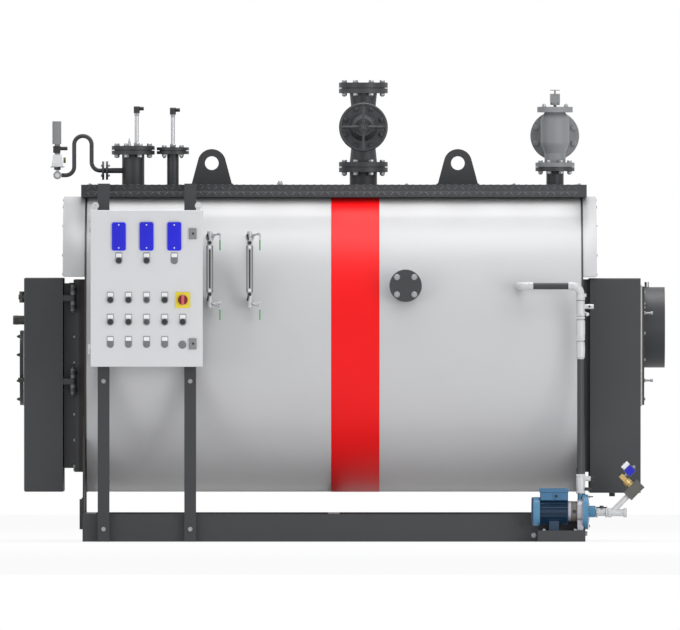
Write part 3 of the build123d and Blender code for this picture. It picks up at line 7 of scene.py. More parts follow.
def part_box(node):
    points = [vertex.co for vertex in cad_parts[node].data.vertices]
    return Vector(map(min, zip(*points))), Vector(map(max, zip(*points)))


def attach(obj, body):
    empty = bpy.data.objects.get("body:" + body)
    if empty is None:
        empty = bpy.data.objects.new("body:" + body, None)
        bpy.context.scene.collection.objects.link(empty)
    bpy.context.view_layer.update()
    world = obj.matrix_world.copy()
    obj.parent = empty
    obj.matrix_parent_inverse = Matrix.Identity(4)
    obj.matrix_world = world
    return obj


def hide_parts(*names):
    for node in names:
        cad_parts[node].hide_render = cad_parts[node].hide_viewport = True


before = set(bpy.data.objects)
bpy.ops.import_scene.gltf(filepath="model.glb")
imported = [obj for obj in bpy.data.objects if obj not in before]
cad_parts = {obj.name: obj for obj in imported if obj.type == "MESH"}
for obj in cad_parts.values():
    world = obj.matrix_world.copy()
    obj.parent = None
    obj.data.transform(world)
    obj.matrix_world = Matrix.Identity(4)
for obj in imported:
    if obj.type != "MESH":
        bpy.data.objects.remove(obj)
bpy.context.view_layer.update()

# Studio. The boiler stands on a plain pale floor in soft light that comes mostly from
# above and from the right, and the camera looks straight at the operator's side through
# a very long lens, as the product picture does.
view_width = 3.468
view_lens = 1580.0
sensor_width = 36.0
view_target = Vector((0.031, -0.5, 1.154))
view_distance = view_width * view_lens / sensor_width

bpy.ops.object.select_all(action="DESELECT")
bpy.ops.object.camera_add(
    location=view_target + Vector((0, -view_distance, 0)), rotation=(math.radians(90), 0, 0)
)
camera = bpy.context.object
camera.data.lens = view_lens
camera.data.sensor_width = sensor_width
camera.data.clip_end = 4 * view_distance
bpy.context.scene.camera = camera


def softbox(name, place, target, size, power):
    """A square area light at place, aimed at target."""
    aim = (Vector(target) - Vector(place)).to_track_quat("-Z", "Y").to_euler()
    bpy.ops.object.light_add(type="AREA", location=place, rotation=aim)
    lamp = bpy.context.object
    lamp.name = name
    lamp.data.size = size
    lamp.data.energy = power


softbox("key_light", (5.0, -6.0, 6.5), (0, 0, 1.0), 3.2, 70)
softbox("fill_light", (-6.2, -6.4, 0.9), (0, 0, 0.9), 4.0, 130)
softbox("top_light", (0.5, 0.4, 7.5), (0, 0, 1.6), 4.5, 320)
softbox("front_light", (5.4, -7.2, 0.9), (0, 0, 0.9), 4.0, 250)
bpy.ops.object.light_add(type="AREA", location=(0, -0.345, 1.785))
shoulder_light = bpy.context.object
shoulder_light.name = "shoulder_light"
shoulder_light.data.shape = "RECTANGLE"
shoulder_light.data.size = 2.5
shoulder_light.data.size_y = 0.18
shoulder_light.data.energy = 3.6
shoulder_light.visible_camera = False


def white_to_camera(tree, lit, white):
    """White where a camera, glossy or transmission ray looks straight at it, and lit otherwise."""
    path = tree.nodes.new("ShaderNodeLightPath")
    seen = tree.nodes.new("ShaderNodeMath")
    seen.operation = "MAXIMUM"
    tree.links.new(path.outputs["Is Camera Ray"], seen.inputs[0])
    tree.links.new(path.outputs["Is Glossy Ray"], seen.inputs[1])
    seen_through = tree.nodes.new("ShaderNodeMath")
    seen_through.operation = "MAXIMUM"
    tree.links.new(seen.outputs[0], seen_through.inputs[0])
    tree.links.new(path.outputs["Is Transmission Ray"], seen_through.inputs[1])
    mix = tree.nodes.new("ShaderNodeMixShader")
    tree.links.new(seen_through.outputs[0], mix.inputs[0])
    tree.links.new(lit, mix.inputs[1])
    tree.links.new(white, mix.inputs[2])
    return mix.outputs[0]


world = bpy.data.worlds.new("pale_room")
bpy.context.scene.world = world
world.use_nodes = True
room_tree = world.node_tree
room = room_tree.nodes["Background"]
room.inputs["Color"].default_value = (0.88, 0.9, 0.93, 1)
room.inputs["Strength"].default_value = 0.6
room_white = room_tree.nodes.new("ShaderNodeBackground")
room_white.inputs["Color"].default_value = (1, 1, 1, 1)
room_seen = white_to_camera(room_tree, room.outputs[0], room_white.outputs[0])
room_tree.links.new(room_seen, room_tree.nodes["World Output"].inputs[0])

bpy.ops.mesh.primitive_plane_add(size=40, location=(0, 0, -0.001))
floor = bpy.context.object
floor.name = "pale_floor"
floor_paint = bpy.data.materials.new("pale_floor")
floor_paint.use_nodes = True
floor_tree = floor_paint.node_tree
floor_shader = floor_tree.nodes["Principled BSDF"]
floor_shader.inputs["Base Color"].default_value = (0.88, 0.88, 0.88, 1)
floor_shader.inputs["Roughness"].default_value = 0.9
floor_white = floor_tree.nodes.new("ShaderNodeEmission")
floor_share = floor_tree.nodes.new("ShaderNodeMixShader")
floor_share.inputs[0].default_value = 0.9
floor_tree.links.new(floor_shader.outputs[0], floor_share.inputs[1])
floor_tree.links.new(floor_white.outputs[0], floor_share.inputs[2])
floor_seen = white_to_camera(floor_tree, floor_shader.outputs[0], floor_share.outputs[0])
floor_tree.links.new(floor_seen, floor_tree.nodes["Material Output"].inputs[0])
floor.data.materials.append(floor_paint)
bpy.context.scene.view_settings.view_transform = "Standard"

# Base frame and end plates under the barrel. They are rolled channels and thick plate,
# welded, then sprayed with anthracite machine paint, and every other dark part of the
# boiler wears the same paint.


def srgb(red, green, blue):
    """A colour given as on screen, 0 to 255, as the shader wants it."""
    def linear(level):
        level = level / 255
        return level / 12.92 if level <= 0.04045 else ((level + 0.055) / 1.055) ** 2.4
    return (linear(red), linear(green), linear(blue), 1)


def shade(colour, factor):
    """The same colour, lighter or darker."""
    return tuple(min(1.0, part * factor) for part in colour[:3]) + (1,)


def coated(name, colour, roughness, mottle=0.05, peel=0.05, peel_scale=420.0, metallic=0.0, coat=0.0):
    """A painted or plated surface: slow drift of tone, fine peel in the coat, uneven gloss."""
    material = bpy.data.materials.new(name)
    material.use_nodes = True
    tree = material.node_tree
    link = tree.links.new
    shader = tree.nodes["Principled BSDF"]
    shader.inputs["Metallic"].default_value = metallic
    shader.inputs["Coat Weight"].default_value = coat
    place = tree.nodes.new("ShaderNodeTexCoord")
    drift = tree.nodes.new("ShaderNodeTexNoise")
    drift.inputs["Scale"].default_value = 3.2
    drift.inputs["Detail"].default_value = 6
    link(place.outputs["Object"], drift.inputs["Vector"])
    tone = tree.nodes.new("ShaderNodeValToRGB")
    tone.color_ramp.elements[0].position = 0.3
    tone.color_ramp.elements[0].color = shade(colour, 1 - mottle)
    tone.color_ramp.elements[1].position = 0.7
    tone.color_ramp.elements[1].color = shade(colour, 1 + mottle)
    link(drift.outputs["Fac"], tone.inputs["Fac"])
    link(tone.outputs["Color"], shader.inputs["Base Color"])
    gloss = tree.nodes.new("ShaderNodeMapRange")
    gloss.inputs["To Min"].default_value = max(0.02, roughness - 0.06)
    gloss.inputs["To Max"].default_value = roughness + 0.08
    link(drift.outputs["Fac"], gloss.inputs["Value"])
    link(gloss.outputs["Result"], shader.inputs["Roughness"])
    grain = tree.nodes.new("ShaderNodeTexNoise")
    grain.inputs["Scale"].default_value = peel_scale
    grain.inputs["Detail"].default_value = 3
    link(place.outputs["Object"], grain.inputs["Vector"])
    bump = tree.nodes.new("ShaderNodeBump")
    bump.inputs["Strength"].default_value = peel
    bump.inputs["Distance"].default_value = 0.002
    link(grain.outputs["Fac"], bump.inputs["Height"])
    link(bump.outputs["Normal"], shader.inputs["Normal"])
    return material


def dress(material, *names):
    """Gives CAD nodes their finish."""
    for name in names:
        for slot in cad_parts[name].material_slots:
            slot.material = material


def fixed(piece):
    """Puts the place, turn and scale of a piece into its mesh."""
    bpy.ops.object.select_all(action="DESELECT")
    piece.select_set(True)
    bpy.context.view_layer.objects.active = piece
    bpy.ops.object.transform_apply(location=True, rotation=True, scale=True)
    return piece


def settle(piece, material, body="boiler"):
    """Leaves a finished piece with its place in its mesh, painted and riding on its body."""
    fixed(piece)
    piece.data.materials.clear()
    piece.data.materials.append(material)
    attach(piece, body)
    return piece


def block(name, low, high, edge):
    """A plate or block between two corners, with its edges broken."""
    low, high = Vector(low), Vector(high)
    bpy.ops.object.select_all(action="DESELECT")
    bpy.ops.mesh.primitive_cube_add(size=1, location=(low + high) / 2)
    piece = bpy.context.object
    piece.name = name
    piece.scale = high - low
    fixed(piece)
    bpy.ops.object.mode_set(mode="EDIT")
    bpy.ops.mesh.select_all(action="SELECT")
    bpy.ops.mesh.bevel(offset=edge, segments=2, affect="EDGES")
    bpy.ops.object.mode_set(mode="OBJECT")
    return piece


anthracite = coated("anthracite_paint", srgb(50, 51, 54), 0.46)
dress(anthracite, "base_frame", "front_leg_plate", "rear_leg_plate", "front_end_plate", "rear_end_plate")

weld_grey = coated("weld_bead", srgb(62, 64, 67), 0.5, peel=0.6, peel_scale=180)
weld_leg, weld_ripple, ripple_rate = 0.006, 0.12, 2.1


def weld(name, start, end):
    """A rippled weld bead from start to end, half sunk in its corner."""
    start, end = Vector(start), Vector(end)
    length = (end - start).length
    bpy.ops.object.select_all(action="DESELECT")
    bpy.ops.mesh.primitive_cylinder_add(vertices=10, radius=weld_leg, depth=length)
    bead = bpy.context.object
    bead.name = name
    bpy.ops.object.mode_set(mode="EDIT")
    bpy.ops.mesh.select_all(action="DESELECT")
    bpy.ops.object.mode_set(mode="OBJECT")
    for edge in bead.data.edges:
        first, last = (bead.data.vertices[v].co for v in edge.vertices)
        edge.select = abs(first.z - last.z) > length / 2
    bpy.ops.object.mode_set(mode="EDIT")
    bpy.ops.mesh.select_mode(type="EDGE")
    bpy.ops.mesh.subdivide(number_cuts=max(2, int(length / (2.5 * weld_leg))), smoothness=0)
    bpy.ops.object.mode_set(mode="OBJECT")
    for vertex in bead.data.vertices:
        swell = 1 + weld_ripple * math.sin(vertex.co.z / weld_leg * ripple_rate)
        vertex.co.x *= swell
        vertex.co.y *= swell
    bead.rotation_euler = (end - start).to_track_quat("Z", "Y").to_euler()
    bead.location = (start + end) / 2
    bpy.ops.object.shade_smooth()
    return settle(bead, weld_grey)


leg_face_x, strap_edge_y, strap_foot, strap_top = 1.280, 0.58, 0.062, 0.216
for end, place in ((-1, "front"), (1, "rear")):
    for side, flank in ((-1, "left"), (1, "right")):
        weld(f"weld_{place}_strap_{flank}", (end * leg_face_x, side * strap_edge_y, strap_foot),
             (end * leg_face_x, side * strap_edge_y, strap_top))

# Barrel cladding. Two white coated sheets are wrapped round the insulation, one each side
# of a red band, and the edges of all three are rolled.
white_sheet = coated("white_sheet", srgb(192, 192, 193), 0.34, mottle=0.012, peel=0.012, peel_scale=90)
red_sheet = coated("red_sheet", srgb(236, 16, 20), 0.46, mottle=0.02, peel=0.012, peel_scale=90)
red_sheet.node_tree.nodes["Principled BSDF"].inputs["Specular IOR Level"].default_value = 0.22
white_sheet.node_tree.nodes["Principled BSDF"].inputs["Specular IOR Level"].default_value = 0.42
insulation_cloth = coated("glass_cloth", srgb(168, 160, 138), 0.9, mottle=0.1, peel=0.7, peel_scale=240)
dress(insulation_cloth, "pressure_body")


def turned(name, outline, foot=(0, 0, 0), axis=(0, 0, 1), sides=32):
    """A turned part: its half outline, as radius and height pairs from foot, spun once round axis."""
    bpy.ops.object.select_all(action="DESELECT")
    bpy.ops.mesh.primitive_plane_add(size=0.001, location=(0, 0, 0))
    piece = bpy.context.object
    piece.name = name
    bpy.ops.object.mode_set(mode="EDIT")
    bpy.ops.mesh.select_mode(type="VERT")
    bpy.ops.mesh.select_all(action="SELECT")
    bpy.ops.mesh.merge(type="CENTER")
    radius, height = outline[0]
    bpy.ops.transform.translate(value=(radius, 0, height))
    for next_radius, next_height in outline[1:]:
        step = (next_radius - radius, 0, next_height - height)
        bpy.ops.mesh.extrude_region_move(TRANSFORM_OT_translate={"value": step})
        radius, height = next_radius, next_height
    bpy.ops.mesh.select_all(action="SELECT")
    bpy.ops.mesh.spin(steps=sides, angle=2 * math.pi, center=(0, 0, 0), axis=(0, 0, 1))
    bpy.ops.mesh.select_all(action="SELECT")
    bpy.ops.mesh.remove_doubles(threshold=0.00001)
    bpy.ops.mesh.normals_make_consistent(inside=False)
    bpy.ops.object.mode_set(mode="OBJECT")
    piece.rotation_euler = Vector(axis).to_track_quat("Z", "Y").to_euler()
    piece.location = foot
    fixed(piece)
    bpy.ops.object.shade_smooth_by_angle(angle=math.radians(35))
    return piece


def spread(model, name, places):
    """Copies one modelled part to each place, each copy with its own mesh, and joins them."""
    bpy.ops.object.select_all(action="DESELECT")
    for place in places:
        copy = model.copy()
        copy.data = model.data.copy()
        copy.data.transform(place)
        bpy.context.collection.objects.link(copy)
        copy.select_set(True)
        bpy.context.view_layer.objects.active = copy
    bpy.ops.object.join()
    bpy.data.objects.remove(model)
    whole = bpy.context.view_layer.objects.active
    whole.name = name
    return whole


def facing(point, axis):
    """The place of a part modelled on z = 0 that stands at point and points along axis."""
    return Matrix.Translation(point) @ Vector(axis).to_track_quat("Z", "Y").to_matrix().to_4x4()


clad_low, clad_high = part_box("cladding")
band_low, band_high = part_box("cladding_band")
barrel_radius = (clad_high.z - clad_low.z) / 2
barrel_axis_z = (clad_high.z + clad_low.z) / 2
band_radius = (band_high.z - band_low.z) / 2
body_radius = barrel_radius - 0.003
sheet_lip, smooth_sides = 0.0008, 288


def wrapped(name, low_x, high_x, outer, material):
    """A sheet wrapped round the barrel between two places along it, with rolled edges."""
    length, rolled = high_x - low_x, outer - sheet_lip
    section = ((body_radius, 0), (rolled, 0), (outer, sheet_lip), (outer, length - sheet_lip),
        (rolled, length), (body_radius, length), (body_radius, 0))
    return settle(turned(name, section, (low_x, 0, barrel_axis_z), (1, 0, 0), smooth_sides), material)


left_sheet = wrapped("cladding_sheet_front", clad_low.x, band_low.x, barrel_radius, white_sheet)
wrapped("cladding_sheet_rear", band_high.x, clad_high.x, barrel_radius, white_sheet)
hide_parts("cladding")
red_band = wrapped("red_band", band_low.x, band_high.x, band_radius, red_sheet)
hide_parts("cladding_band")

# White hoods over the door frame and over the smoke box neck. Each is folded from the same
# coated sheet to the round of the barrel and held by pan-head screws through its end face.


def hood(name, node):
    """A hood: the barrel's round, cut off level at the foot of its node, with folded edges."""
    low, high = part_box(node)
    bpy.ops.object.select_all(action="DESELECT")
    bpy.ops.mesh.primitive_cylinder_add(
        vertices=smooth_sides, radius=barrel_radius, depth=high.x - low.x,
        location=((low.x + high.x) / 2, 0, barrel_axis_z), rotation=(0, math.radians(90), 0))
    piece = bpy.context.object
    piece.name = name
    fixed(piece)
    bpy.ops.object.mode_set(mode="EDIT")
    bpy.ops.mesh.select_all(action="SELECT")
    bpy.ops.mesh.bisect(plane_co=(0, 0, low.z), plane_no=(0, 0, 1), clear_inner=True, use_fill=True)
    bpy.ops.mesh.select_all(action="SELECT")
    bpy.ops.mesh.normals_make_consistent(inside=False)
    bpy.ops.object.mode_set(mode="OBJECT")
    fold = piece.modifiers.new("fold", "BEVEL")
    fold.width = 0.002
    fold.segments = 2
    fold.limit_method = "ANGLE"
    fold.angle_limit = math.radians(40)
    bpy.ops.object.modifier_apply(modifier=fold.name)
    bpy.ops.object.shade_smooth_by_angle(angle=math.radians(35))
    settle(piece, white_sheet)
    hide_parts(node)
    return low, high


zinc = coated("zinc_plate", srgb(158, 160, 162), 0.38, mottle=0.05, peel=0.05, metallic=0.7)


def pan_screw(radius):
    """A pan-head screw with a hexagon socket, standing on z = 0."""
    height = 0.62 * radius
    return turned("pan_screw", ((0, 0.45 * height), (0.42 * radius, 0.45 * height),
        (0.5 * radius, height), (0.8 * radius, 0.86 * height), (radius, 0.4 * height), (radius, 0),
        (0, 0)), sides=12)


def fasten(name, model, places, steel=zinc):
    """Copies of a modelled fastener at its places, made into one piece."""
    return settle(spread(model, name, places), steel)


screw_radius, screw_inset, screw_foot = 0.0065, 0.019, 0.0125
screw_arc = barrel_radius - screw_inset
for name, node, side in (("front_hood", "front_casing", -1), ("rear_hood", "rear_casing", 1)):
    hood_low, hood_high = hood(name, node)
    face_x = hood_low.x if side < 0 else hood_high.x
    screw_places = [facing((face_x, screw_arc * math.sin(math.radians(angle)),
                            barrel_axis_z + screw_arc * math.cos(math.radians(angle))), (side, 0, 0))
                    for angle in (-52, -35, -18, 0, 18, 35, 52)]
    screw_places += [facing((face_x, y, hood_low.z + screw_foot), (side, 0, 0))
        for y in (-0.5, -0.25, 0, 0.25, 0.5)]
    fasten(name + "_screws", pan_screw(screw_radius), screw_places)

# Front end. The flanged door frame is bolted to the tube plate, whose smoke tubes are
# rolled and beaded in; welded fork plates on the frame carry the door on two fixed pins.
hot_plate = coated("heat_darkened_plate", srgb(60, 56, 53), 0.6, mottle=0.22, peel=0.25, metallic=0.6)
dress(hot_plate, "front_tube_plate", "furnace_tube")
dress(anthracite, "door_frame", "hinge_brackets")


def hexagon(name, across, low, high):
    """A hexagon bar end between two heights on the Z axis, with its corners turned off."""
    bpy.ops.object.select_all(action="DESELECT")
    bpy.ops.mesh.primitive_cylinder_add(vertices=6, radius=across / math.sqrt(3), depth=high - low,
                                        location=(0, 0, (low + high) / 2))
    piece = bpy.context.object
    piece.name = name
    fixed(piece)
    for edge in piece.data.edges:
        first, last = (piece.data.vertices[v].co for v in edge.vertices)
        edge.select = abs(first.z - last.z) < (high - low) / 2
    bpy.ops.object.mode_set(mode="EDIT")
    bpy.ops.mesh.select_mode(type="EDGE")
    bpy.ops.mesh.bevel(offset=0.07 * across, segments=1, affect="EDGES")
    bpy.ops.object.mode_set(mode="OBJECT")
    return piece


def joined(name, *parts):
    """Several parts made into one mesh."""
    bpy.ops.object.select_all(action="DESELECT")
    for part in parts:
        part.select_set(True)
    bpy.context.view_layer.objects.active = parts[0]
    bpy.ops.object.join()
    parts[0].name = name
    return parts[0]


def bolt_head(bolt):
    """A hexagon bolt head on a washer, standing on z = 0."""
    washer_top = 0.16 * bolt
    washer = turned("washer", ((0, 0), (0.98 * bolt, 0), (1.0 * bolt, 0.5 * washer_top),
                               (0.98 * bolt, washer_top), (0, washer_top)), sides=20)
    return joined("bolt_head", washer, hexagon("head", 1.5 * bolt, washer_top, washer_top + 0.64 * bolt))


def nut_end(bolt, tip):
    """A washer, a hexagon nut and the threaded end of its stud, standing on z = 0."""
    nut_top = 0.96 * bolt
    thread_radius = bolt / 2
    outline = [(0, nut_top + tip), (0.78 * thread_radius, nut_top + tip)]
    turns = max(1, round(tip / (0.14 * bolt)))
    for turn in range(turns):
        height = nut_top + tip - (turn + 0.5) * tip / turns
        outline += [(thread_radius, height), (0.86 * thread_radius, height - 0.5 * tip / turns)]
    outline += [(0.86 * thread_radius, 0.8 * nut_top), (0, 0.8 * nut_top)]
    thread = turned("thread", outline, sides=14)
    washer = turned("washer", ((0, 0), (0.98 * bolt, 0), (1.0 * bolt, 0.08 * bolt),
        (0.98 * bolt, 0.16 * bolt), (0, 0.16 * bolt)), sides=20)
    return joined("nut_end", washer, hexagon("nut", 1.5 * bolt, 0.16 * bolt, nut_top), thread)


tube_low, tube_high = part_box("front_tube_plate")
furnace_low, furnace_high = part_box("furnace_tube")
furnace_z = (furnace_low.z + furnace_high.z) / 2
bead_model = turned("tube_bead", ((0.0225, 0), (0.0225, 0.0025), (0.0245, 0.0045), (0.0275, 0.004),
                                  (0.029, 0.0015), (0.029, 0), (0.0225, 0)), sides=20)
bead_places = []
for ring_radius, count, start, sweep in ((0.345, 22, 0, 360), (0.410, 17, 150, 240)):
    pitch = sweep / count if sweep == 360 else sweep / (count - 1)
    for place in range(count):
        angle = math.radians(start + place * pitch)
        bead_places.append(facing((tube_low.x, ring_radius * math.cos(angle),
                                   furnace_z + ring_radius * math.sin(angle)), (-1, 0, 0)))
settle(spread(bead_model, "smoke_tube_beads", bead_places), hot_plate)
flange_bolt, flange_thick, flange_inset = 0.010, 0.021, 0.011
flange_face_x = tube_low.x - flange_thick
flange_line_y = tube_high.y - flange_inset
hinge_heights, hinge_room, corner_room = (1.240, 0.815), 0.085, 0.03
frame_bolt_places = []
for side in (-1, 1):
    for row in range(8):
        z = tube_low.z + corner_room + row * (tube_high.z - tube_low.z - 2 * corner_room) / 7
        near_hinge = side < 0 and min(abs(z - hinge_z) for hinge_z in hinge_heights) < hinge_room
        if not near_hinge:
            frame_bolt_places.append(facing((flange_face_x, side * flange_line_y, z), (-1, 0, 0)))
for z in (tube_low.z + 0.010, tube_high.z - 0.010):
    for row in range(7):
        y = -0.42 + row * 0.14
        frame_bolt_places.append(facing((flange_face_x, y, z), (-1, 0, 0)))
fasten("door_frame_bolts", bolt_head(flange_bolt), frame_bolt_places)
hinge_steel = coated("hinge_steel", srgb(104, 106, 108), 0.5, mottle=0.1, peel=0.15, metallic=0.3)
hinge_x, hinge_y = -1.330, -0.525
sleeves, pin_nuts = [], []
for hinge_z in hinge_heights:
    for foot, top in ((0.0158, 0.0363), (-0.0363, -0.0158)):
        sleeves.append(turned("sleeve", ((0.0084, foot), (0.0138, foot), (0.0148, foot + 0.001),
            (0.0148, top - 0.001), (0.0138, top), (0.0084, top), (0.0084, foot)),
            (hinge_x, hinge_y, hinge_z), sides=28))
    pin_nuts.append(facing((hinge_x, hinge_y, hinge_z + 0.0511), (0, 0, 1)))
    pin_nuts.append(facing((hinge_x, hinge_y, hinge_z - 0.0511), (0, 0, -1)))
settle(joined("hinge_sleeves", *sleeves), hinge_steel)
fasten("hinge_pin_nuts", nut_end(0.016, 0.008), pin_nuts, hinge_steel)

# Front door and its fittings. The door is a welded box of plate, painted, with the burner
# plate bolted over its opening on a fibre gasket; a sight tube, a test tap and a black knob
# sit in its face.
dress(anthracite, "front_door", "burner_plate")
refractory = coated("refractory", srgb(190, 176, 152), 0.88, mottle=0.12, peel=0.7, peel_scale=60)
dress(refractory, "door_lining")
black_plastic = coated("black_plastic", srgb(30, 31, 33), 0.42, mottle=0.04, peel=0.08)
turned_steel = coated("turned_steel", srgb(152, 154, 157), 0.32, mottle=0.06, peel=0.06, metallic=0.85)
oiled_steel = coated("oiled_steel", srgb(74, 74, 71), 0.48, mottle=0.12, peel=0.15, metallic=0.35)
dress(oiled_steel, "door_fittings")


def bolt_ring(centre, axis, radius, count, start=None):
    """The places of count bolts on a circle about centre, all pointing along axis."""
    stand = facing(centre, axis)
    start = math.pi / count if start is None else start
    return [stand @ Matrix.Rotation(start + turn * 2 * math.pi / count, 4, "Z")
        @ Matrix.Translation((radius, 0, 0)) for turn in range(count)]


burner_low, burner_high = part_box("burner_plate")
burner_z = (burner_low.z + burner_high.z) / 2
burner_radius = (burner_high.z - burner_low.z) / 2
burner_bolt = 0.010
settle(spread(nut_end(burner_bolt, 0.006), "burner_plate_nuts",
              bolt_ring((burner_low.x, 0, burner_z), (-1, 0, 0), burner_radius - 0.018, 8)),
       oiled_steel, "front_door")
gasket_white = coated("gasket_fibre", srgb(205, 203, 196), 0.85, mottle=0.05, peel=0.4, peel_scale=500)
gasket = turned("burner_gasket", ((burner_radius - 0.04, 0), (burner_radius + 0.002, 0),
                                  (burner_radius + 0.002, 0.007), (burner_radius - 0.04, 0.007),
                                  (burner_radius - 0.04, 0)),
                (burner_high.x, 0, burner_z), (-1, 0, 0), 96)
settle(gasket, gasket_white, "front_door")
sight_rings = []
for ring_x in (-1.634, -1.627, -1.620):
    sight_rings.append(turned("ring", ((0.0225, 0), (0.0250, 0.0008), (0.0250, 0.0036), (0.0225, 0.0044),
                                       (0.0225, 0)), (ring_x, 0, 1.128), (1, 0, 0), 48))
settle(joined("sight_tube_rings", *sight_rings), oiled_steel, "front_door")

# Smoke box. Two painted plate boxes with welded seams; the cleaning cover on its end is
# pulled against a fibre rope by hexagon bolts, and held by two longer clamp studs.
dress(anthracite, "smoke_box", "flue_outlet")
box_face_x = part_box("smoke_box")[1].x
cover_half, cover_foot, cover_top = 0.380, 0.695, 1.300
rope_wide, rope_thick = 0.006, 0.009
rope_half = cover_half + rope_wide
cover_rope = []
for low_y, low_z, high_y, high_z in ((-rope_half, cover_foot - rope_wide, rope_half, cover_foot),
                                     (-rope_half, cover_top, rope_half, cover_top + rope_wide),
                                     (-rope_half, cover_foot, -cover_half, cover_top),
                                     (cover_half, cover_foot, rope_half, cover_top)):
    low, high = (box_face_x, low_y, low_z), (box_face_x + rope_thick, high_y, high_z)
    cover_rope.append(block("rope", low, high, 0.002))
settle(joined("cover_rope", *cover_rope), gasket_white)
cover_face_x, cover_bolt, cover_bolt_inset = 1.584, 0.0080, 0.022
cover_bolts = [facing((cover_face_x, side * (cover_half - cover_bolt_inset), z), (1, 0, 0))
               for side in (-1, 1) for z in (0.725, 0.926, 1.060, 1.193, 1.212, 1.269)]
fasten("cover_bolts", bolt_head(cover_bolt), cover_bolts)


def bar(name, start, end, radius, sides=16, edge=0.0008):
    """A round bar from start to end with its ends chamfered."""
    start, end = Vector(start), Vector(end)
    length = (end - start).length
    return turned(name, ((0, 0), (radius - edge, 0), (radius, edge), (radius, length - edge),
                         (radius - edge, length), (0, length)), start, end - start, sides)


clamp_y = -cover_half + 0.045
for name, clamp_z, clamp_steel in (("upper_clamp_stud", 1.164, zinc),
        ("lower_clamp_stud", 0.820, turned_steel)):
    stud = []
    for part, foot, tip, radius in (("shank", 0, 0.034, 0.0056), ("end", 0.032, 0.045, 0.0080),
                                    ("collar", 0, 0.006, 0.0100)):
        stud.append(bar(part, (cover_face_x + foot, clamp_y, clamp_z),
            (cover_face_x + tip, clamp_y, clamp_z), radius))
    settle(joined(name, *stud), clamp_steel)
flue_stub = bar("flue_stub", (1.6005, 0, 1.290), (1.6005, 0, 1.324), 0.0115, 24, 0.0015)
settle(flue_stub, turned_steel)

# Walkway on the barrel. A folded tray of tear plate on two bearers, painted, screwed down
# along both edges; the tears on the deck are rolled in two directions.
dress(anthracite, "walkway", "lug_front", "lug_rear")
deck_low, deck_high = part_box("walkway")
deck_top = deck_high.z
tear_half_length, tear_half_width, tear_rise, tear_sink = 0.0135, 0.0042, 0.0019, 0.0006
tear_pitch, tear_margin, lug_room = 0.036, 0.038, 0.02
bpy.ops.object.select_all(action="DESELECT")
bpy.ops.mesh.primitive_circle_add(vertices=8, radius=1, fill_type="NGON")
tear = bpy.context.object
bpy.ops.object.mode_set(mode="EDIT")
bpy.ops.mesh.select_all(action="SELECT")
bpy.ops.mesh.extrude_region_move(TRANSFORM_OT_translate={"value": (0, 0, 1)})
bpy.ops.transform.resize(value=(0.6, 0.45, 1))
bpy.ops.mesh.select_all(action="SELECT")
bpy.ops.mesh.normals_make_consistent(inside=False)
bpy.ops.object.mode_set(mode="OBJECT")
tear.scale = (tear_half_length, tear_half_width, tear_rise)
fixed(tear)
tears = []
tear_columns = int((deck_high.x - deck_low.x - 0.04) / tear_pitch)
tear_rows = int((deck_high.y - deck_low.y - 0.04) / tear_pitch)
deck_fittings = [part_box(name) for name in ("lug_front", "lug_rear", "probe_nozzles", "steam_stub",
    "safety_stub")]


def leaning(column, row):
    """The turn of one tear: they lean left and right by turns."""
    return Matrix.Rotation(math.radians(45 if (column + row) % 2 else -45), 4, "Z")


column_places = [deck_low.x + tear_margin + column * tear_pitch for column in range(tear_columns)]
for column, x in enumerate(column_places):
    for row in range(tear_rows):
        y = deck_low.y + tear_margin + row * tear_pitch
        if not any(low.x - lug_room < x < high.x + lug_room and low.y - lug_room < y < high.y + lug_room
                   for low, high in deck_fittings):
            tears.append(Matrix.Translation((x, y, deck_top - tear_sink)) @ leaning(column, row))
for side in (-1, 1):
    for column, x in enumerate(column_places):
        for row, z in enumerate((1.772, 1.802)):
            stand = facing((x, side * (deck_high.y - 0.0004), z), (0, side, 0))
            tears.append(stand @ leaning(column, row))
# The tears on the deck and skirts are given a lighter, glossier grey than the tray's paint.
lighter_tear_grey = coated("lighter_tear_grey", srgb(76, 77, 80), 0.38, mottle=0.2, peel=0.1)
settle(spread(tear, "deck_tears", tears), lighter_tear_grey)
deck_screws = [facing((x, side * (deck_high.y - 0.022), deck_high.z), (0, 0, 1))
               for side in (-1, 1) for x in (-1.245, 0.372, 0.920, 1.252)]
fasten("deck_screws", bolt_head(0.009), deck_screws)
vent_x = -0.275
vent = joined("vent_plug", hexagon("hex", 0.030, deck_top - 0.004, deck_top + 0.010),
    turned("cap", ((0, 0.020), (0.008, 0.020), (0.010, 0.018), (0.010, 0.008), (0, 0.008)),
    (0, 0, deck_top)))
vent.location = (vent_x, -0.330, 0)
settle(vent, turned_steel)
weld_inset, weld_rise = 0.01, 0.002
for name in ("lug_front", "lug_rear"):
    lug_low, lug_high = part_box(name)
    for flank, face_x in (("left", lug_low.x), ("right", lug_high.x)):
        weld(f"weld_{name}_{flank}", (face_x, lug_low.y + weld_inset, deck_top + weld_rise),
             (face_x, lug_high.y - weld_inset, deck_top + weld_rise))

# Level chamber and probe nozzle. Painted pipe stubs with blind flanges; stainless electrode
# rods stand in hexagon glands under black plugs, and the bolts are zinc plated.
dress(anthracite, "probe_nozzles")
rod_steel = coated("electrode_rod", srgb(186, 187, 190), 0.3, mottle=0.03, peel=0.0, metallic=0.5)
dress(rod_steel, "level_probes")


def flange_bolts(name, centre, axis, radius, count, bolt, grip, tip):
    """Bolts through a flange joint: nuts with thread ends on the face at centre, heads behind."""
    axis = Vector(axis)
    nuts = spread(nut_end(bolt, tip), "nuts", bolt_ring(centre, axis, radius, count))
    heads = spread(bolt_head(bolt), "heads", bolt_ring(Vector(centre) - grip * axis, -axis, radius,
        count))
    return settle(joined(name, nuts, heads), zinc)


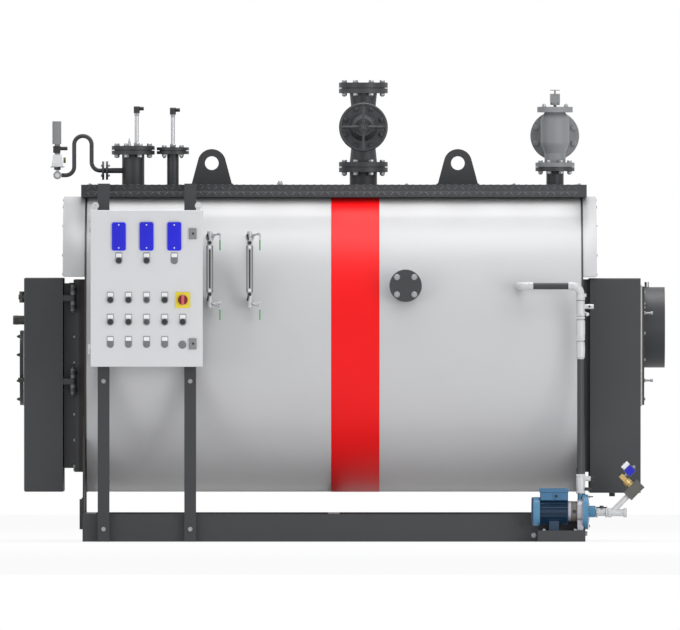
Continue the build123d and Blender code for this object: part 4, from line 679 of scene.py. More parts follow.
chamber_x, stub_x = -1.027, -0.824
chamber_top, chamber_foot = 2.019, 1.975
stub_top, stub_foot = 2.012, 1.977
flange_bolts("chamber_bolts", (chamber_x, 0, chamber_foot), (0, 0, -1), 0.090, 8, 0.016,
    chamber_top - chamber_foot, 0.002)
flange_bolts("probe_stub_bolts", (stub_x, 0, stub_foot), (0, 0, -1), 0.0625, 4, 0.014,
    stub_top - stub_foot, 0.007)
gland_across, lock_across = 0.030, 0.024
for spot_name, x, base, top in (("chamber_rod", -1.009, chamber_top, 2.186),
        ("probe_rod", stub_x, stub_top, 2.179)):
    gland = hexagon("gland", gland_across, base, base + 0.016)
    lock_nut = hexagon("lock_nut", lock_across, top - 0.012, top)
    fitting = joined(spot_name + "_glands", gland, lock_nut)
    fitting.location = (x, 0, 0)
    settle(fitting, turned_steel)
    plug_body = turned("plug", ((0, 0.0005), (0.0145, 0.0005), (0.0156, 0.0016), (0.0156, 0.0340),
        (0.0130, 0.0366), (0, 0.0366)), (x, 0, top), (0, 0, 1), 32)
    spout = bar("spout", (x, 0, top + 0.024), (x + 0.0365, 0, top + 0.024), 0.0096, 20, 0.0015)
    settle(joined(spot_name + "_plug", plug_body, spout), black_plastic)

# Pressure pipe, switch and transmitter. A painted siphon of bent tube leads to a cock with
# a pressure switch in a white hood, and a grey transmitter with a cable plug on top.
dress(anthracite, "siphon_pipe")
white_plastic = coated("white_plastic", srgb(226, 227, 228), 0.38, mottle=0.01, peel=0.04)
dress(white_plastic, "pressure_switch")
grey_casting = coated("grey_casting", srgb(138, 139, 141), 0.5, mottle=0.05, peel=0.22, peel_scale=300)
dress(grey_casting, "pressure_transmitter")
flange_bolts("siphon_flange_bolts", (-1.1555, 0, 1.893), (1, 0, 0), 0.036, 4, 0.007, 0.031, 0.003)
ball_x, ball_z, knob_z, spout_z = -1.415, 1.869, 1.946, 2.006
switch_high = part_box("pressure_switch")[1]
cock_ring = turned("ring", ((0.0115, 0), (0.021, 0), (0.021, 0.004), (0.0115, 0.004), (0.0115, 0)),
                   (ball_x, -0.0185, ball_z), (0, -1, 0), 40)
settle(cock_ring, turned_steel)
brim = block("brim", (ball_x - 0.036, -0.034, 1.9095), (ball_x + 0.037, 0.034, 1.9125), 0.001)
settle(brim, black_plastic)
olive = coated("olive_plastic", srgb(96, 98, 62), 0.4, mottle=0.05)
set_knob = bar("set_knob", (switch_high.x - 0.001, 0, knob_z), (switch_high.x + 0.011, 0, knob_z),
    0.0145, 24)
settle(set_knob, olive)
transmitter_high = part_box("pressure_transmitter")[1]
transmitter_x = -1.418
plug = joined("transmitter_plug", block("body", (transmitter_x - 0.019, -0.019, 1.983),
    (transmitter_x + 0.019, 0.019, 2.019), 0.003),
    bar("spout", (transmitter_x + 0.018, 0, spout_z), (transmitter_high.x, 0, spout_z), 0.0096, 20),
    bar("neck", (ball_x, 0, 1.8965), (ball_x, 0, 1.9097), 0.0170, 24))
settle(plug, black_plastic)

# Main steam valve. A grey iron globe valve with a bolted bonnet, painted; the wheel is cast
# with four spokes and sits on the stem with a nut in front.
dress(anthracite, "steam_stub", "steam_counterflange")
valve_iron = coated("valve_iron", srgb(58, 59, 62), 0.5, mottle=0.06, peel=0.3, peel_scale=220)
dress(valve_iron, "steam_valve_body", "steam_valve_bonnet")
wheel_paint = coated("wheel_paint", srgb(48, 49, 52), 0.36, mottle=0.05, peel=0.1)
dress(wheel_paint, "handwheel")
steam_x, steam_z = 0.1505, 2.113
bonnet_face_y, gland_face_y, wheel_face_y = -0.162, -0.268, -0.343
steam_circle, steam_bolt, thread_tip = 0.105, 0.016, 0.004
for name, foot, top in (("steam_stub_bolts", 1.885, 1.935), ("steam_top_bolts", 2.291, 2.343)):
    flange_bolts(name, (steam_x, 0, foot), (0, 0, -1), steam_circle, 8, steam_bolt, top - foot,
        thread_tip)
bonnet_low, bonnet_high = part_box("steam_valve_bonnet")
bonnet_radius = (bonnet_high.x - bonnet_low.x) / 2
bonnet_bolts = flange_bolts("bonnet_bolts", (steam_x, bonnet_face_y, steam_z), (0, -1, 0),
    bonnet_radius - 0.017, 8, 0.014, 0.044, 0.006)
bonnet_bolts.data.materials[0] = valve_iron
stem_nut = hexagon("stem_nut", 0.022, 0, 0.012)
stem_nut.rotation_euler = (math.radians(90), 0, 0)
stem_nut.location = (steam_x, wheel_face_y, steam_z)
settle(stem_nut, zinc, "handwheel")
gland_bolts = [facing((steam_x + side * 0.034, gland_face_y, steam_z), (0, -1, 0)) for side in (-1, 1)]
fasten("gland_nuts", nut_end(0.009, 0.010), gland_bolts)

# Safety valve. A grey cast iron angle valve, its closed spring bonnet bolted down, with a
# square cap over the adjusting screw; the outlet flange faces away from the operator.
dress(grey_casting, "safety_valve_body", "safety_valve_bonnet")
dress(anthracite, "safety_stub")
safety_x = 1.131
safety_foot, safety_top, safety_circle = 1.890, 1.934, 0.080
flange_bolts("safety_stub_bolts", (safety_x, 0, safety_foot), (0, 0, -1), safety_circle, 8, 0.014,
             safety_top - safety_foot, thread_tip)
fasten("bonnet_nuts", nut_end(0.012, 0.004), bolt_ring((safety_x, 0, 2.219), (0, 0, 1), 0.079, 4))
outlet_face_y, outlet_z = 0.145, 2.072
outlet_heads = spread(bolt_head(steam_bolt), "outlet_bolts",
    bolt_ring((safety_x, outlet_face_y, outlet_z), (0, -1, 0), steam_circle, 8))
settle(outlet_heads, grey_casting)

# Panel posts. Flat steel uprights, painted, bolted to the base channel and hooked over the
# edge of the walkway; the panel hangs on them by two lugs with eyes.
dress(anthracite, "post_left", "post_right")
post_face_y, post_foot_z, post_middle_z = -0.810, 0.064, 0.817
post_bolts = []
for name in ("post_left", "post_right"):
    post_low, post_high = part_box(name)
    for z in (post_foot_z, post_middle_z):
        post_bolts.append(facing(((post_low.x + post_high.x) / 2, post_face_y, z), (0, -1, 0)))
fasten("post_bolts", bolt_head(0.012), post_bolts)

# Control panel. A folded sheet cabinet in light grey powder coat with a hinged door; three
# blue displays, black knobs and grey lamps in legend holders, two locks and the main switch.
panel_grey = coated("panel_grey", srgb(210, 210, 211), 0.45, mottle=0.008, peel=0.1, peel_scale=500)
dress(panel_grey, "panel_box", "panel_door")
display_blue = coated("display_blue", srgb(0, 0, 205), 0.22, mottle=0.1, peel=0.0)
pale_blue = coated("display_bezel", srgb(188, 190, 232), 0.4, mottle=0.01)
legend_grey = coated("legend_holder", srgb(150, 152, 154), 0.45, mottle=0.03)
label_white = coated("label_white", srgb(238, 238, 238), 0.5, mottle=0.01)
lamp_grey = coated("lamp_grey", srgb(112, 113, 115), 0.35, mottle=0.03)
lock_grey = coated("lock_grey", srgb(128, 129, 130), 0.4, mottle=0.04)
panel_face_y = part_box("panel_door")[0].y


def rounded_plate(name, x, z, width, height, front_y, thick, corners, edge=0.0006):
    """A plate on the panel's face, its upright corners rounded by (upper, lower) radii."""
    bpy.ops.object.select_all(action="DESELECT")
    bpy.ops.mesh.primitive_cube_add(size=1, location=(x, front_y + thick / 2, z))
    piece = bpy.context.object
    piece.name = name
    piece.scale = (width, thick, height)
    fixed(piece)
    for upper, radius in ((True, corners[0]), (False, corners[1])):
        bpy.ops.object.mode_set(mode="EDIT")
        bpy.ops.mesh.select_all(action="DESELECT")
        bpy.ops.object.mode_set(mode="OBJECT")
        for line in piece.data.edges:
            first, last = (piece.data.vertices[v].co for v in line.vertices)
            across = abs(first.y - last.y) > 0.5 * thick and abs(abs(first.x - x) - width / 2) < 1e-5
            line.select = across and (first.z > z) == upper
        bpy.ops.object.mode_set(mode="EDIT")
        bpy.ops.mesh.select_mode(type="EDGE")
        bpy.ops.mesh.bevel(offset=radius, segments=6, affect="EDGES")
        bpy.ops.object.mode_set(mode="OBJECT")
    rim = piece.modifiers.new("rim", "BEVEL")
    rim.width = edge
    rim.segments = 2
    rim.limit_method = "ANGLE"
    rim.angle_limit = math.radians(60)
    bpy.ops.object.modifier_apply(modifier=rim.name)
    bpy.ops.object.shade_smooth_by_angle(angle=math.radians(30))
    return piece


def on_panel(piece, material):
    """A finished piece that swings with the panel's door."""
    return settle(piece, material, "panel_door")


display_columns = (-1.093, -0.952, -0.811)
display_z, display_thick = 1.553, 0.009
display_front_y = panel_face_y - display_thick
bezels, lenses, display_lamps = [], [], []
for x in display_columns:
    bezels.append(rounded_plate("bezel", x, display_z, 0.078, 0.150, panel_face_y - 0.003, 0.004,
        (0.014, 0.014)))
    lenses.append(rounded_plate("lens", x, display_z, 0.072, 0.144, display_front_y, display_thick,
                                (0.012, 0.012), 0.0018))
    for z in (1.612, 1.495):
        display_lamps.append(bar("dot", (x, display_front_y + 0.001, z),
                                 (x, display_front_y - 0.0006, z), 0.0035, 16, 0.0003))
on_panel(joined("display_bezels", *bezels), pale_blue)
display_faces = on_panel(joined("display_lenses", *lenses), display_blue)
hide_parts("panel_displays")
on_panel(joined("display_lamps", *display_lamps), label_white)

knob_columns = (-1.136, -1.044, -0.952, -0.860, -0.768)
holders, labels, knob_places, selector_places, lamps = [], [], [], [], []
upper_row, switch_row, knob_row, lamp_row = 1.431, 1.231, 1.119, 1.006
controls = [(x, upper_row, "lamp" if x == display_columns[2] else "knob") for x in display_columns]
for columns, z in ((knob_columns[:4], switch_row), (knob_columns, knob_row)):
    controls += [(x, z, "selector" if x == knob_columns[2] else "knob") for x in columns]
controls += [(x, lamp_row, "lamp") for x in knob_columns[:4]]
for x, z, kind in controls:
    holders.append(rounded_plate("holder", x, z + 0.011, 0.036, 0.061, panel_face_y - 0.0022, 0.0032,
        (0.004, 0.0165)))
    labels.append(rounded_plate("label", x, z + 0.026, 0.028, 0.019, panel_face_y - 0.0034, 0.002,
        (0.002, 0.002), 0.0003))
    seat = facing((x, panel_face_y - 0.0015, z), (0, -1, 0))
    if kind == "knob":
        knob_places.append(seat)
    elif kind == "selector":
        selector_places.append(seat)
    else:
        lamps.append(rounded_plate("lamp", x, z - 0.001, 0.033, 0.034, panel_face_y - 0.0052, 0.005,
            (0.002, 0.0155), 0.0012))
on_panel(joined("legend_holders", *holders), legend_grey)
on_panel(joined("legend_labels", *labels), label_white)
lens_x, lens_z = -0.770, 1.003
lamps.append(turned("lens", ((0, 0.006), (0.016, 0.006), (0.0195, 0.004), (0.0205, 0), (0, 0)),
                    (lens_x, panel_face_y - 0.0005, lens_z), (0, -1, 0), 40))
on_panel(joined("panel_lamps", *lamps), lamp_grey)
knob_model = turned("knob", ((0, 0), (0.0148, 0), (0.0148, 0.0035), (0.0135, 0.0045), (0.0130, 0.0155),
                             (0.0118, 0.0170), (0.006, 0.0173), (0, 0.0173)))
panel_knobs = on_panel(spread(knob_model, "panel_knobs", knob_places), black_plastic)
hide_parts("panel_buttons")
selector_collar = turned("collar", ((0, 0), (0.0140, 0), (0.0135, 0.005), (0.0110, 0.006), (0, 0.006)))
selector_grip = block("grip", (-0.0035, -0.012, 0.005), (0.0035, 0.012, 0.014), 0.0012)
selector_dark = coated("selector_dark", srgb(74, 75, 77), 0.4, mottle=0.03)
on_panel(spread(joined("selector", selector_collar, selector_grip), "panel_selectors", selector_places),
         selector_dark)
lock_x, key_x = -0.7175, -0.7155
locks, keyholes = [], []
for z in (1.567, 1.0075):
    locks.append(rounded_plate("lock", lock_x, z, 0.039, 0.057, panel_face_y - 0.0075, 0.008,
        (0.004, 0.004), 0.0015))
    keyholes.append(bar("barrel", (key_x, panel_face_y - 0.006, z + 0.001),
        (key_x, panel_face_y - 0.0082, z + 0.001), 0.0065, 24))
    keyholes.append(block("slot", (-0.7210, panel_face_y - 0.0090, z),
        (-0.7100, panel_face_y - 0.0070, z + 0.002), 0.0003))
on_panel(joined("panel_locks", *locks), lock_grey)
on_panel(joined("panel_keyholes", *keyholes), black_plastic)

# Main switch. A moulded yellow plate on the panel's door with a dark red rotary knob whose
# grip stands upright when the switch is on.
switch_yellow = coated("switch_yellow", srgb(226, 206, 52), 0.42, mottle=0.03)
knob_red = coated("knob_red", srgb(120, 10, 12), 0.35, mottle=0.05)
grip_red = coated("grip_red", srgb(206, 92, 92), 0.38, mottle=0.05)
switch_x, switch_z = knob_columns[4], switch_row
yellow = rounded_plate("yellow_plate", switch_x, switch_z - 0.001, 0.0765, 0.081, panel_face_y - 0.005,
    0.005, (0.004, 0.004), 0.002)
on_panel(yellow, switch_yellow)
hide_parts("switch_plate")
switch_base_y = panel_face_y - 0.0052
red_knob = turned("red_knob", ((0, 0), (0.0255, 0), (0.0255, 0.004), (0.0245, 0.0135), (0.0230, 0.0150),
    (0, 0.0150)), (switch_x, switch_base_y, switch_z), (0, -1, 0), 48)
settle(red_knob, knob_red, "main_switch")
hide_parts("switch_knob")
red_grip = block("red_grip", (switch_x - 0.007, switch_base_y - 0.0235, switch_z - 0.0260),
                 (switch_x + 0.007, switch_base_y - 0.0140, switch_z + 0.0260), 0.0022)
settle(red_grip, grip_red, "main_switch")

# Water level gauges. Reflex glasses in long steel frames between two cocks, joined to the
# barrel by union nuts; each cock has a steel lever with a green grip.
gauge_steel = coated("gauge_steel", srgb(112, 113, 115), 0.4, mottle=0.05, peel=0.1)
cock_steel = coated("cock_steel", srgb(188, 189, 190), 0.4, mottle=0.05, peel=0.12, metallic=0.2)
dress(cock_steel, "level_gauge_left", "level_gauge_right")
green_grip = coated("green_grip", srgb(104, 158, 112), 0.45, mottle=0.04)
levers = ("level_gauge_left_lever_high", "level_gauge_left_lever_low",
          "level_gauge_right_lever_high", "level_gauge_right_lever_low")
dress(green_grip, *levers)
glass_dark = coated("reflex_glass", srgb(34, 35, 38), 0.12, mottle=0.2, peel=0.0, coat=0.6)
gauge_y, cock_reach = -0.800, 0.022
glass_half, rim_half, frame_half = 0.0052, 0.0074, 0.0174
glasses, rims, side_plates, end_caps, cock_knobs, links = [], [], [], [], [], []
for name in ("level_gauge_left", "level_gauge_right"):
    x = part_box(name)[0].x + cock_reach
    glasses.append(block("glass", (x - glass_half, gauge_y - 0.0163, 1.289),
        (x + glass_half, gauge_y - 0.008, 1.488), 0.0006))
    for side in (-1, 1):
        near, far = sorted((side * glass_half, side * rim_half))
        rims.append(block("rim", (x + near, gauge_y - 0.0167, 1.284), (x + far, gauge_y - 0.010, 1.494),
            0.0004))
        near, far = sorted((side * rim_half, side * frame_half))
        side_plates.append(block("side", (x + near, gauge_y - 0.0164, 1.2672),
            (x + far, gauge_y + 0.0164, 1.5078), 0.003))
    for z in (1.2785, 1.5005):
        end_caps.append(turned("cap", ((0, 0), (0.0072, 0), (0.0072, 0.0015), (0.0060, 0.0025),
            (0, 0.0025)), (x, gauge_y - 0.0162, z), (0, -1, 0), 24))
    for z in (1.2595, 1.5215):
        cock_knobs.append(turned("knob", ((0, 0), (0.0085, 0), (0.0095, 0.002), (0.0095, 0.016),
            (0.0080, 0.018), (0, 0.018)), (x, gauge_y - 0.010, z), (0, -1, 0), 24))
    for foot, tip in ((1.536, 1.567), (1.250, 1.225)):
        cock_knobs.append(bar("spindle", (x - 0.007, gauge_y - 0.017, foot),
            (x - 0.012, gauge_y - 0.017, tip), 0.0045, 14))
    for z, tip in ((1.550, 1.570), (1.213, 1.198)):
        links.append(bar("link", (x + 0.008, gauge_y - 0.013, z), (x + 0.046, gauge_y - 0.010, tip),
            0.004, 14))
settle(joined("gauge_glasses", *glasses), glass_dark)
settle(joined("gauge_end_caps", *end_caps), label_white)
settle(joined("gauge_knobs", *cock_knobs), black_plastic)
settle(joined("gauge_links", *links), turned_steel)
settle(joined("gauge_rims", *rims), cock_steel)
settle(joined("gauge_sides", *side_plates), gauge_steel)
for name, body in zip(levers, ("left_high_lever", "left_low_lever", "right_high_lever",
        "right_low_lever")):
    lever_low, lever_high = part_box(name)
    eye_z = lever_high.z - 0.011
    eye = turned("eye", ((0, 0), (0.0108, 0), (0.0114, 0.0008), (0.0114, 0.0080), (0.0108, 0.0088),
        (0, 0.0088)), (lever_low.x - 0.0004, gauge_y, eye_z), (1, 0, 0), 28)
    arm = block("arm", (lever_low.x - 0.0003, gauge_y - 0.0075, eye_z - 0.030),
        (lever_high.x + 0.0003, gauge_y + 0.0075, eye_z), 0.001)
    settle(joined(name + "_arm", eye, arm), cock_steel, body)

# Hand hole. A painted steel neck welded to the barrel, shut by a blind flange that is held
# by four hexagon bolts through both flanges.
dress(anthracite, "hand_hole")
hand_x, hand_z = 0.365, 1.303
flange_bolts("hand_hole_bolts", (hand_x, -0.761, hand_z), (0, 1, 0), 0.0625, 4, 0.016, 0.039, 0.006)

# Feed line. Steel pipe painted dark, with zinc plated malleable iron elbows, tee, unions and
# valves; small test cocks stand off the riser towards the flue end.
dress(anthracite, "feed_pipe", "feed_riser")
zinc_iron = coated("zinc_iron", srgb(196, 197, 198), 0.42, mottle=0.07, peel=0.25, peel_scale=260,
    metallic=0.15)
feed_y, feed_z, feed_radius, riser_x = -0.860, 1.301, 0.01685, 1.2546


def elbow(name, centre, start, end, bend, radius):
    """A pipe bend about centre: a ring section swept from direction start to direction end."""
    start, end = Vector(start), Vector(end)
    axis = end.cross(start)
    bpy.ops.object.select_all(action="DESELECT")
    bpy.ops.mesh.primitive_circle_add(vertices=24, radius=radius, fill_type="NGON",
                                      location=Vector(centre) + bend * start,
                                      rotation=axis.cross(start).to_track_quat("Z", "Y").to_euler())
    piece = bpy.context.object
    piece.name = name
    fixed(piece)
    bpy.ops.object.mode_set(mode="EDIT")
    bpy.ops.mesh.select_all(action="SELECT")
    bpy.ops.mesh.spin(steps=12, angle=start.angle(end), center=centre, axis=axis)
    bpy.ops.mesh.select_all(action="SELECT")
    bpy.ops.mesh.remove_doubles(threshold=0.00001)
    bpy.ops.mesh.normals_make_consistent(inside=False)
    bpy.ops.object.mode_set(mode="OBJECT")
    bpy.ops.object.shade_smooth_by_angle(angle=math.radians(50))
    return piece


def fitting(name, start, end, radius, bead):
    """A straight pipe fitting with a thicker bead at both ends."""
    start, end = Vector(start), Vector(end)
    length = (end - start).length
    lip = radius + bead
    wide = min(0.009, length / 4)
    return turned(name, ((0, 0), (lip - 0.001, 0), (lip, 0.001), (lip, wide - 0.001),
        (lip - 0.001, wide), (radius, wide + 0.001), (radius, length - wide - 0.001),
        (lip - 0.001, length - wide), (lip, length - wide + 0.001), (lip, length - 0.001),
        (lip - 0.001, length), (0, length)), start, end - start, 32)


def upright(name, low, high, *outline):
    """A turned fitting on the riser, from the radius of its rings and their share of its height."""
    rings = [(radius, share * (high - low)) for radius, share in ((0, 0), *outline, (0, 1))]
    return turned(name, rings, (riser_x, feed_y, low), sides=36)


feed_x, feed_bend, riser_bend = 0.943, 0.048, 0.040
bend_shell = feed_radius + 0.0028
nozzle_turn = elbow("elbow", (feed_x + feed_bend, feed_y + feed_bend, feed_z), (-1, 0, 0), (0, -1, 0),
    feed_bend, bend_shell)
nozzle_nipple = fitting("nipple", (feed_x + feed_bend - 0.002, feed_y, feed_z), (1.014, feed_y, feed_z),
    bend_shell, 0.0022)
riser_turn = elbow("elbow", (riser_x - riser_bend, feed_y, feed_z - riser_bend), (0, 0, 1), (1, 0, 0),
    riser_bend, bend_shell)
riser_nipple = fitting("nipple", (1.193, feed_y, feed_z),
    (riser_x - riser_bend + 0.002, feed_y, feed_z), bend_shell, 0.0022)
pocket_boss = bar("boss", (riser_x, feed_y, 1.253), (1.284, feed_y, 1.253), 0.009, 20, 0.0015)
settle(joined("feed_elbows", nozzle_turn, nozzle_nipple, riser_turn, riser_nipple, pocket_boss),
    zinc_iron)

union_across = 0.0450
foot_ring, body_ring, cap_ring = 0.0190, 0.0214, 0.0232
riser_parts = [upright("collar", 1.2295, 1.2625, (0.0215, 0), (0.0228, 0.06), (0.0228, 0.94),
    (0.0215, 1)), upright("neck", 0.930, 1.235, (0.0178, 0), (0.0178, 1)),
    upright("barrel", 1.1475, 1.2285, (foot_ring, 0), (body_ring, 0.03), (body_ring, 0.97),
    (0.0200, 1)), upright("check", 1.0265, 1.1310, (foot_ring, 0), (body_ring, 0.02), (body_ring, 0.2),
    (cap_ring, 0.28), (cap_ring, 0.92), (body_ring, 0.97), (foot_ring, 1)),
    upright("cock", 0.9345, 1.0195, (foot_ring, 0), (body_ring, 0.03), (body_ring, 0.15), (0.0226, 0.3),
    (cap_ring, 0.5), (0.0226, 0.7), (body_ring, 0.85), (body_ring, 0.97), (foot_ring, 1)),
    upright("valve", 0.2445, 0.3450, (foot_ring, 0), (body_ring, 0.03), (body_ring, 0.2),
    (0.0230, 0.35), (0.0230, 0.75), (body_ring, 0.85), (body_ring, 0.97), (foot_ring, 1))]
for low, high in ((1.134, 1.1470), (1.1495, 1.160), (1.024, 1.0360), (1.0385, 1.050), (0.2445, 0.262),
        (0.330, 0.3455)):
    union_nut = hexagon("union_nut", union_across, low, high)
    union_nut.location = (riser_x, feed_y, 0)
    riser_parts.append(fixed(union_nut))
settle(joined("riser_fittings", *riser_parts), zinc_iron)

test_z, drain_z = 1.197, 0.322
side_x, stem_x = riser_x + 0.015, 1.300
side_parts = [bar("cock", (side_x, feed_y, test_z), (1.322, feed_y, test_z), 0.0120, 24, 0.0015),
              bar("cock", (side_x, feed_y, drain_z), (1.306, feed_y, drain_z), 0.0130, 24, 0.0015),
              bar("stem", (stem_x, feed_y, test_z), (stem_x, feed_y - 0.0165, test_z), 0.0085, 24, 0.001),
              bar("link", (side_x, feed_y, 1.172), (1.289, feed_y, 1.160), 0.005, 12)]
ball_radius = 0.0102
ball_outline = [(round(ball_radius * math.sin(math.radians(angle)), 6),
    -ball_radius * math.cos(math.radians(angle))) for angle in range(0, 181, 15)]
side_ball = turned("ball", ball_outline, (1.289, feed_y, 1.158), sides=24)
settle(joined("riser_side_cocks", *side_parts, side_ball), zinc_iron)
# The black disc in the test cock's outlet is painted shade for its dark bore; the drain cock's cap is
# real black plastic.
caps_and_bore_shade = [bar("bore_shade", (stem_x, feed_y - 0.010, test_z), (stem_x, feed_y - 0.0170, test_z), 0.0055,
    20, 0.0003), bar("cap", (1.304, feed_y, drain_z), (1.320, feed_y, drain_z), 0.0110, 24, 0.0015)]
settle(joined("riser_side_caps_and_bore_shade", *caps_and_bore_shade), black_plastic)

# Feed pump. A close-coupled pump: sprayed cast casing and fan cowl in light blue, finned
# motor body with its terminal box in dark blue, on a folded bracket at the base channel.
pump_blue = coated("pump_blue", srgb(74, 128, 162), 0.4, mottle=0.04, peel=0.12, peel_scale=260)
box_blue = coated("terminal_blue", srgb(56, 104, 140), 0.42, mottle=0.05, peel=0.12)
motor_blue = coated("motor_blue", srgb(16, 50, 78), 0.44, mottle=0.06, peel=0.12)
pump_silver = coated("pump_silver", srgb(176, 175, 184), 0.4, mottle=0.05, metallic=0.35)
lantern_grey = coated("lantern_grey", srgb(104, 99, 94), 0.5, mottle=0.06, peel=0.25)
dress(anthracite, "pump_bracket")
dress(motor_blue, "pump_motor")
dress(pump_blue, "pump_casing")
pump_z = 0.154
motor_x, lantern_x, motor_core, fin_radius = 1.049, 1.191, 0.058, 0.0675


def on_shaft(name, x, sides, *outline):
    """A turned part on the line of the pump's shaft, from x on towards the pump."""
    return turned(name, outline, (x, feed_y, pump_z), (1, 0, 0), sides)


cowl = on_shaft("fan_cowl", 1.005, 96, (0, -0.0005), (0.030, -0.0005), (0.0315, 0.002), (0.034, 0.002),
    (0.0355, -0.0005), (0.045, -0.0005), (0.0465, 0.002), (0.049, 0.002), (0.0505, -0.0003),
    (0.060, 0.0002), (0.0680, 0.0022), (0.0722, 0.0062), (0.0737, 0.012), (0.0737, 0.0425),
    (0.0722, 0.0432), (0.0722, 0.0440), (0.0655, 0.0440))
settle(cowl, pump_blue)
motor_parts = [on_shaft("core", motor_x, 64, (0, 0.001), (motor_core + 0.0006, 0.001),
    (motor_core + 0.0006, 0.141), (0, 0.141))]
fin_turns, terminal_height, foot_cosine = 44, 0.052, -0.8
fin_inset = 0.0015
fin_model = block("fin", (motor_x + fin_inset, -0.0011, motor_core - 0.003),
    (lantern_x - fin_inset, 0.0011, fin_radius), 0.0006)
fin_places = []
for turn in range(fin_turns):
    angle = (turn + 0.5) * 2 * math.pi / fin_turns
    if math.cos(angle) * fin_radius <= terminal_height and math.cos(angle) > foot_cosine:
        fin_places.append(Matrix.Translation((0, feed_y, pump_z)) @ Matrix.Rotation(angle, 4, "X"))
motor_parts.append(spread(fin_model, "fins", fin_places))
terminal_foot, terminal_rim, terminal_top = 0.2115, 0.2505, 0.2725
terminal_parts = [block("box", (1.0520, feed_y - 0.0524, terminal_foot),
    (1.1885, feed_y + 0.0524, terminal_rim), 0.002),
    block("lid", (1.0455, feed_y - 0.0535, terminal_rim), (1.1935, feed_y + 0.0535, terminal_top),
    0.003)]
settle(joined("terminal_box", *terminal_parts), box_blue)
settle(joined("motor_body", *motor_parts), motor_blue)
gland_x, gland_z = 1.130, 0.232
cable_gland = turned("cable_gland", ((0.0085, 0), (0.0145, 0), (0.0150, 0.001), (0.0150, 0.006),
    (0.0140, 0.0075), (0.0085, 0.0075), (0.0085, 0)), (gland_x, feed_y - 0.0523, gland_z), (0, -1, 0),
    32)
settle(cable_gland, box_blue)
# The black disc in the cable gland's bore is painted shade for the dark hole; the plug and its pin are
# real black parts.
black_parts_and_gland_shade = [bar("bore_shade", (gland_x, feed_y - 0.052, gland_z), (gland_x, feed_y - 0.0560, gland_z),
    0.0088, 24, 0.0004), block("plug", (1.277, feed_y - 0.012, 0.260), (1.309, feed_y + 0.012, 0.277),
    0.003), bar("pin", (1.288, feed_y, 0.2295), (1.319, feed_y, 0.2295), 0.0028, 12)]
settle(joined("pump_black_parts_and_gland_shade", *black_parts_and_gland_shade), black_plastic)
lid_screw_places = [facing((x, feed_y + side * 0.046, terminal_top), (0, 0, 1)) for x in (1.054, 1.185)
    for side in (-1, 1)]
fasten("lid_screws", pan_screw(0.0045), lid_screw_places)
adapter = turned("motor_flange", ((0, 0), (0.0520, 0), (0.0530, 0.001), (0.0530, 0.0150),
    (0.0520, 0.016), (0, 0.016)), (1.1905, feed_y, pump_z + 0.001), (1, 0, 0), 64)
back_plate = on_shaft("back_plate", 1.2380, 72, (0, 0), (0.0625, 0), (0.0640, 0.0015), (0.0640, 0.0245),
    (0.0700, 0.0285), (0.0700, 0.0325), (0, 0.0325))
settle(joined("pump_flanges", adapter, back_plate), pump_silver)
lantern = on_shaft("lantern", 1.2060, 64, (0, 0), (0.0526, 0), (0.0526, 0.0325), (0, 0.0325))
settle(lantern, lantern_grey)
window_x = 1.2225
# Black bars across the lantern fill its two windows: painted shade for the dark inside seen through the
# openings.
window_shades = [bar("window", (window_x, feed_y, pump_z), (window_x, feed_y + reach, pump_z), 0.0095, 28,
    0.0004) for reach in (-0.0535, 0.0535)]
settle(joined("lantern_window_shade", *window_shades), black_plastic)
skirt = block("pump_foot", (1.2385, feed_y - 0.0462, 0.0585), (1.2685, feed_y + 0.0462, 0.1500), 0.003)
settle(skirt, pump_silver)
base_bolts = [facing((1.018, -0.770, 0.033), (0, -1, 0)), facing((1.279, feed_y, 0.042), (1, 0, 0))]
fasten("base_bolts", bolt_head(0.0135), base_bolts)
volute_bolts = bolt_ring((1.2705, feed_y, pump_z), (-1, 0, 0), 0.0780, 8)
fasten("pump_bolts", bolt_head(0.008), volute_bolts)
casing_face_x = 1.2968
fasten("casing_plugs", bolt_head(0.008),
    [facing((casing_face_x, feed_y, z), (1, 0, 0)) for z in (0.0795, 0.2285)], turned_steel)
foot_bolts = [facing((x, y, 0.058), (0, 0, 1)) for x in (1.069, 1.228) for y in (-0.925, -0.795)]
fasten("bracket_bolts", bolt_head(0.010), foot_bolts)

# Suction line. Zinc plated ball valve with a black wing handle, a ribbed strainer, and a
# plastic solenoid valve with a brass pilot and a blue coil on its slanting branch.
dress(zinc_iron, "suction_line")
wing_black = coated("wing_handle", srgb(34, 35, 37), 0.38, mottle=0.05)
dress(wing_black, "suction_handle")
solenoid_grey = coated("solenoid_body", srgb(82, 82, 76), 0.5, mottle=0.06, peel=0.2)
dress(solenoid_grey, "feed_solenoid")
suction_z = 0.148
nut_turn = Matrix.Rotation(math.radians(90), 4, "Y")
line_nuts = []
for start, end, across in ((1.333, 1.343, 0.050), (1.381, 1.392, 0.050), (1.396, 1.412, 0.048),
        (1.473, 1.490, 0.048)):
    nut = hexagon("line_nut", across, 0, end - start)
    nut.matrix_world = Matrix.Translation((start, feed_y, suction_z)) @ nut_turn
    line_nuts.append(fixed(nut))
settle(joined("suction_nuts", *line_nuts), zinc_iron)
foot_x, foot_z = 1.5301, 0.2671
half_root = math.sqrt(0.5)
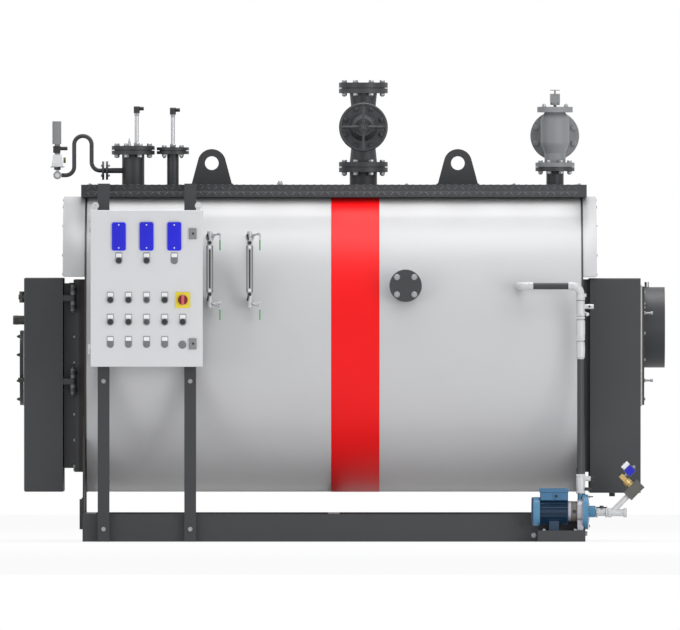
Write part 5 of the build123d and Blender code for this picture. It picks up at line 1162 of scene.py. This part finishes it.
slant = Matrix(((half_root, 0, -half_root, foot_x), (0, 1, 0, feed_y),
    (half_root, 0, half_root, foot_z), (0, 0, 0, 1)))


def slanted(piece, material):
    """A piece modelled along the branch, with X up the branch and Z off its upper side."""
    piece.matrix_world = slant
    return settle(piece, material)


brass = coated("brass", srgb(184, 158, 104), 0.42, mottle=0.06, metallic=0.8)
coil_blue = coated("coil_blue", srgb(4, 6, 168), 0.55, mottle=0.06)
collars = [block("collar", (low, -0.0288, -0.0288), (high, 0.0288, 0.0288), 0.0025)
           for low, high in ((-0.0512, -0.0400), (0.0320, 0.0432))]
ribs = [block("rib", (low, -0.0284, -0.0284), (low + 0.003, 0.0284, 0.0284), 0.0008)
    for low in (-0.030, -0.022, 0.014, 0.022)]
slanted(joined("solenoid_ribs", *collars, *ribs), solenoid_grey)
pilot_ring = turned("pilot_ring", ((0, 0.026), (0.0206, 0.026), (0.0206, 0.0360), (0.0185, 0.0375),
    (0.0203, 0.0390), (0.0206, 0.040), (0.0206, 0.0630), (0.0195, 0.0645), (0, 0.0645)), sides=40)
pilot_block = block("pilot_block", (-0.0125, -0.0125, 0.060), (0.0125, 0.0125, 0.1016), 0.0015)
slanted(joined("pilot_valve", pilot_ring, pilot_block), brass)
coil = block("coil", (0.0262, -0.0233, 0.0607), (0.0728, 0.0233, 0.1073), 0.0035)
slanted(coil, coil_blue)
core_z, coil_end, plug_top = 0.084, 0.0728, 0.1313
coil_core = bar("core", (0.012, 0, core_z), (0.0845, 0, core_z), 0.0074, 24)
coil_nut = bar("nut", (coil_end, 0, core_z), (0.0795, 0, core_z), 0.0100, 6)
slanted(joined("coil_core", coil_core, coil_nut), zinc)
cable_plug = joined("cable_plug", block("plug", (0.0305, -0.0153, 0.1070), (0.0745, 0.0153, plug_top),
    0.0025), block("foot", (0.0325, -0.0165, 0.1065), (0.0725, 0.0165, 0.1110), 0.0012))
slanted(cable_plug, white_plastic)
plug_screw = spread(pan_screw(0.004), "plug_screw", [Matrix.Translation((0.0525, 0, plug_top))])
slanted(plug_screw, zinc)
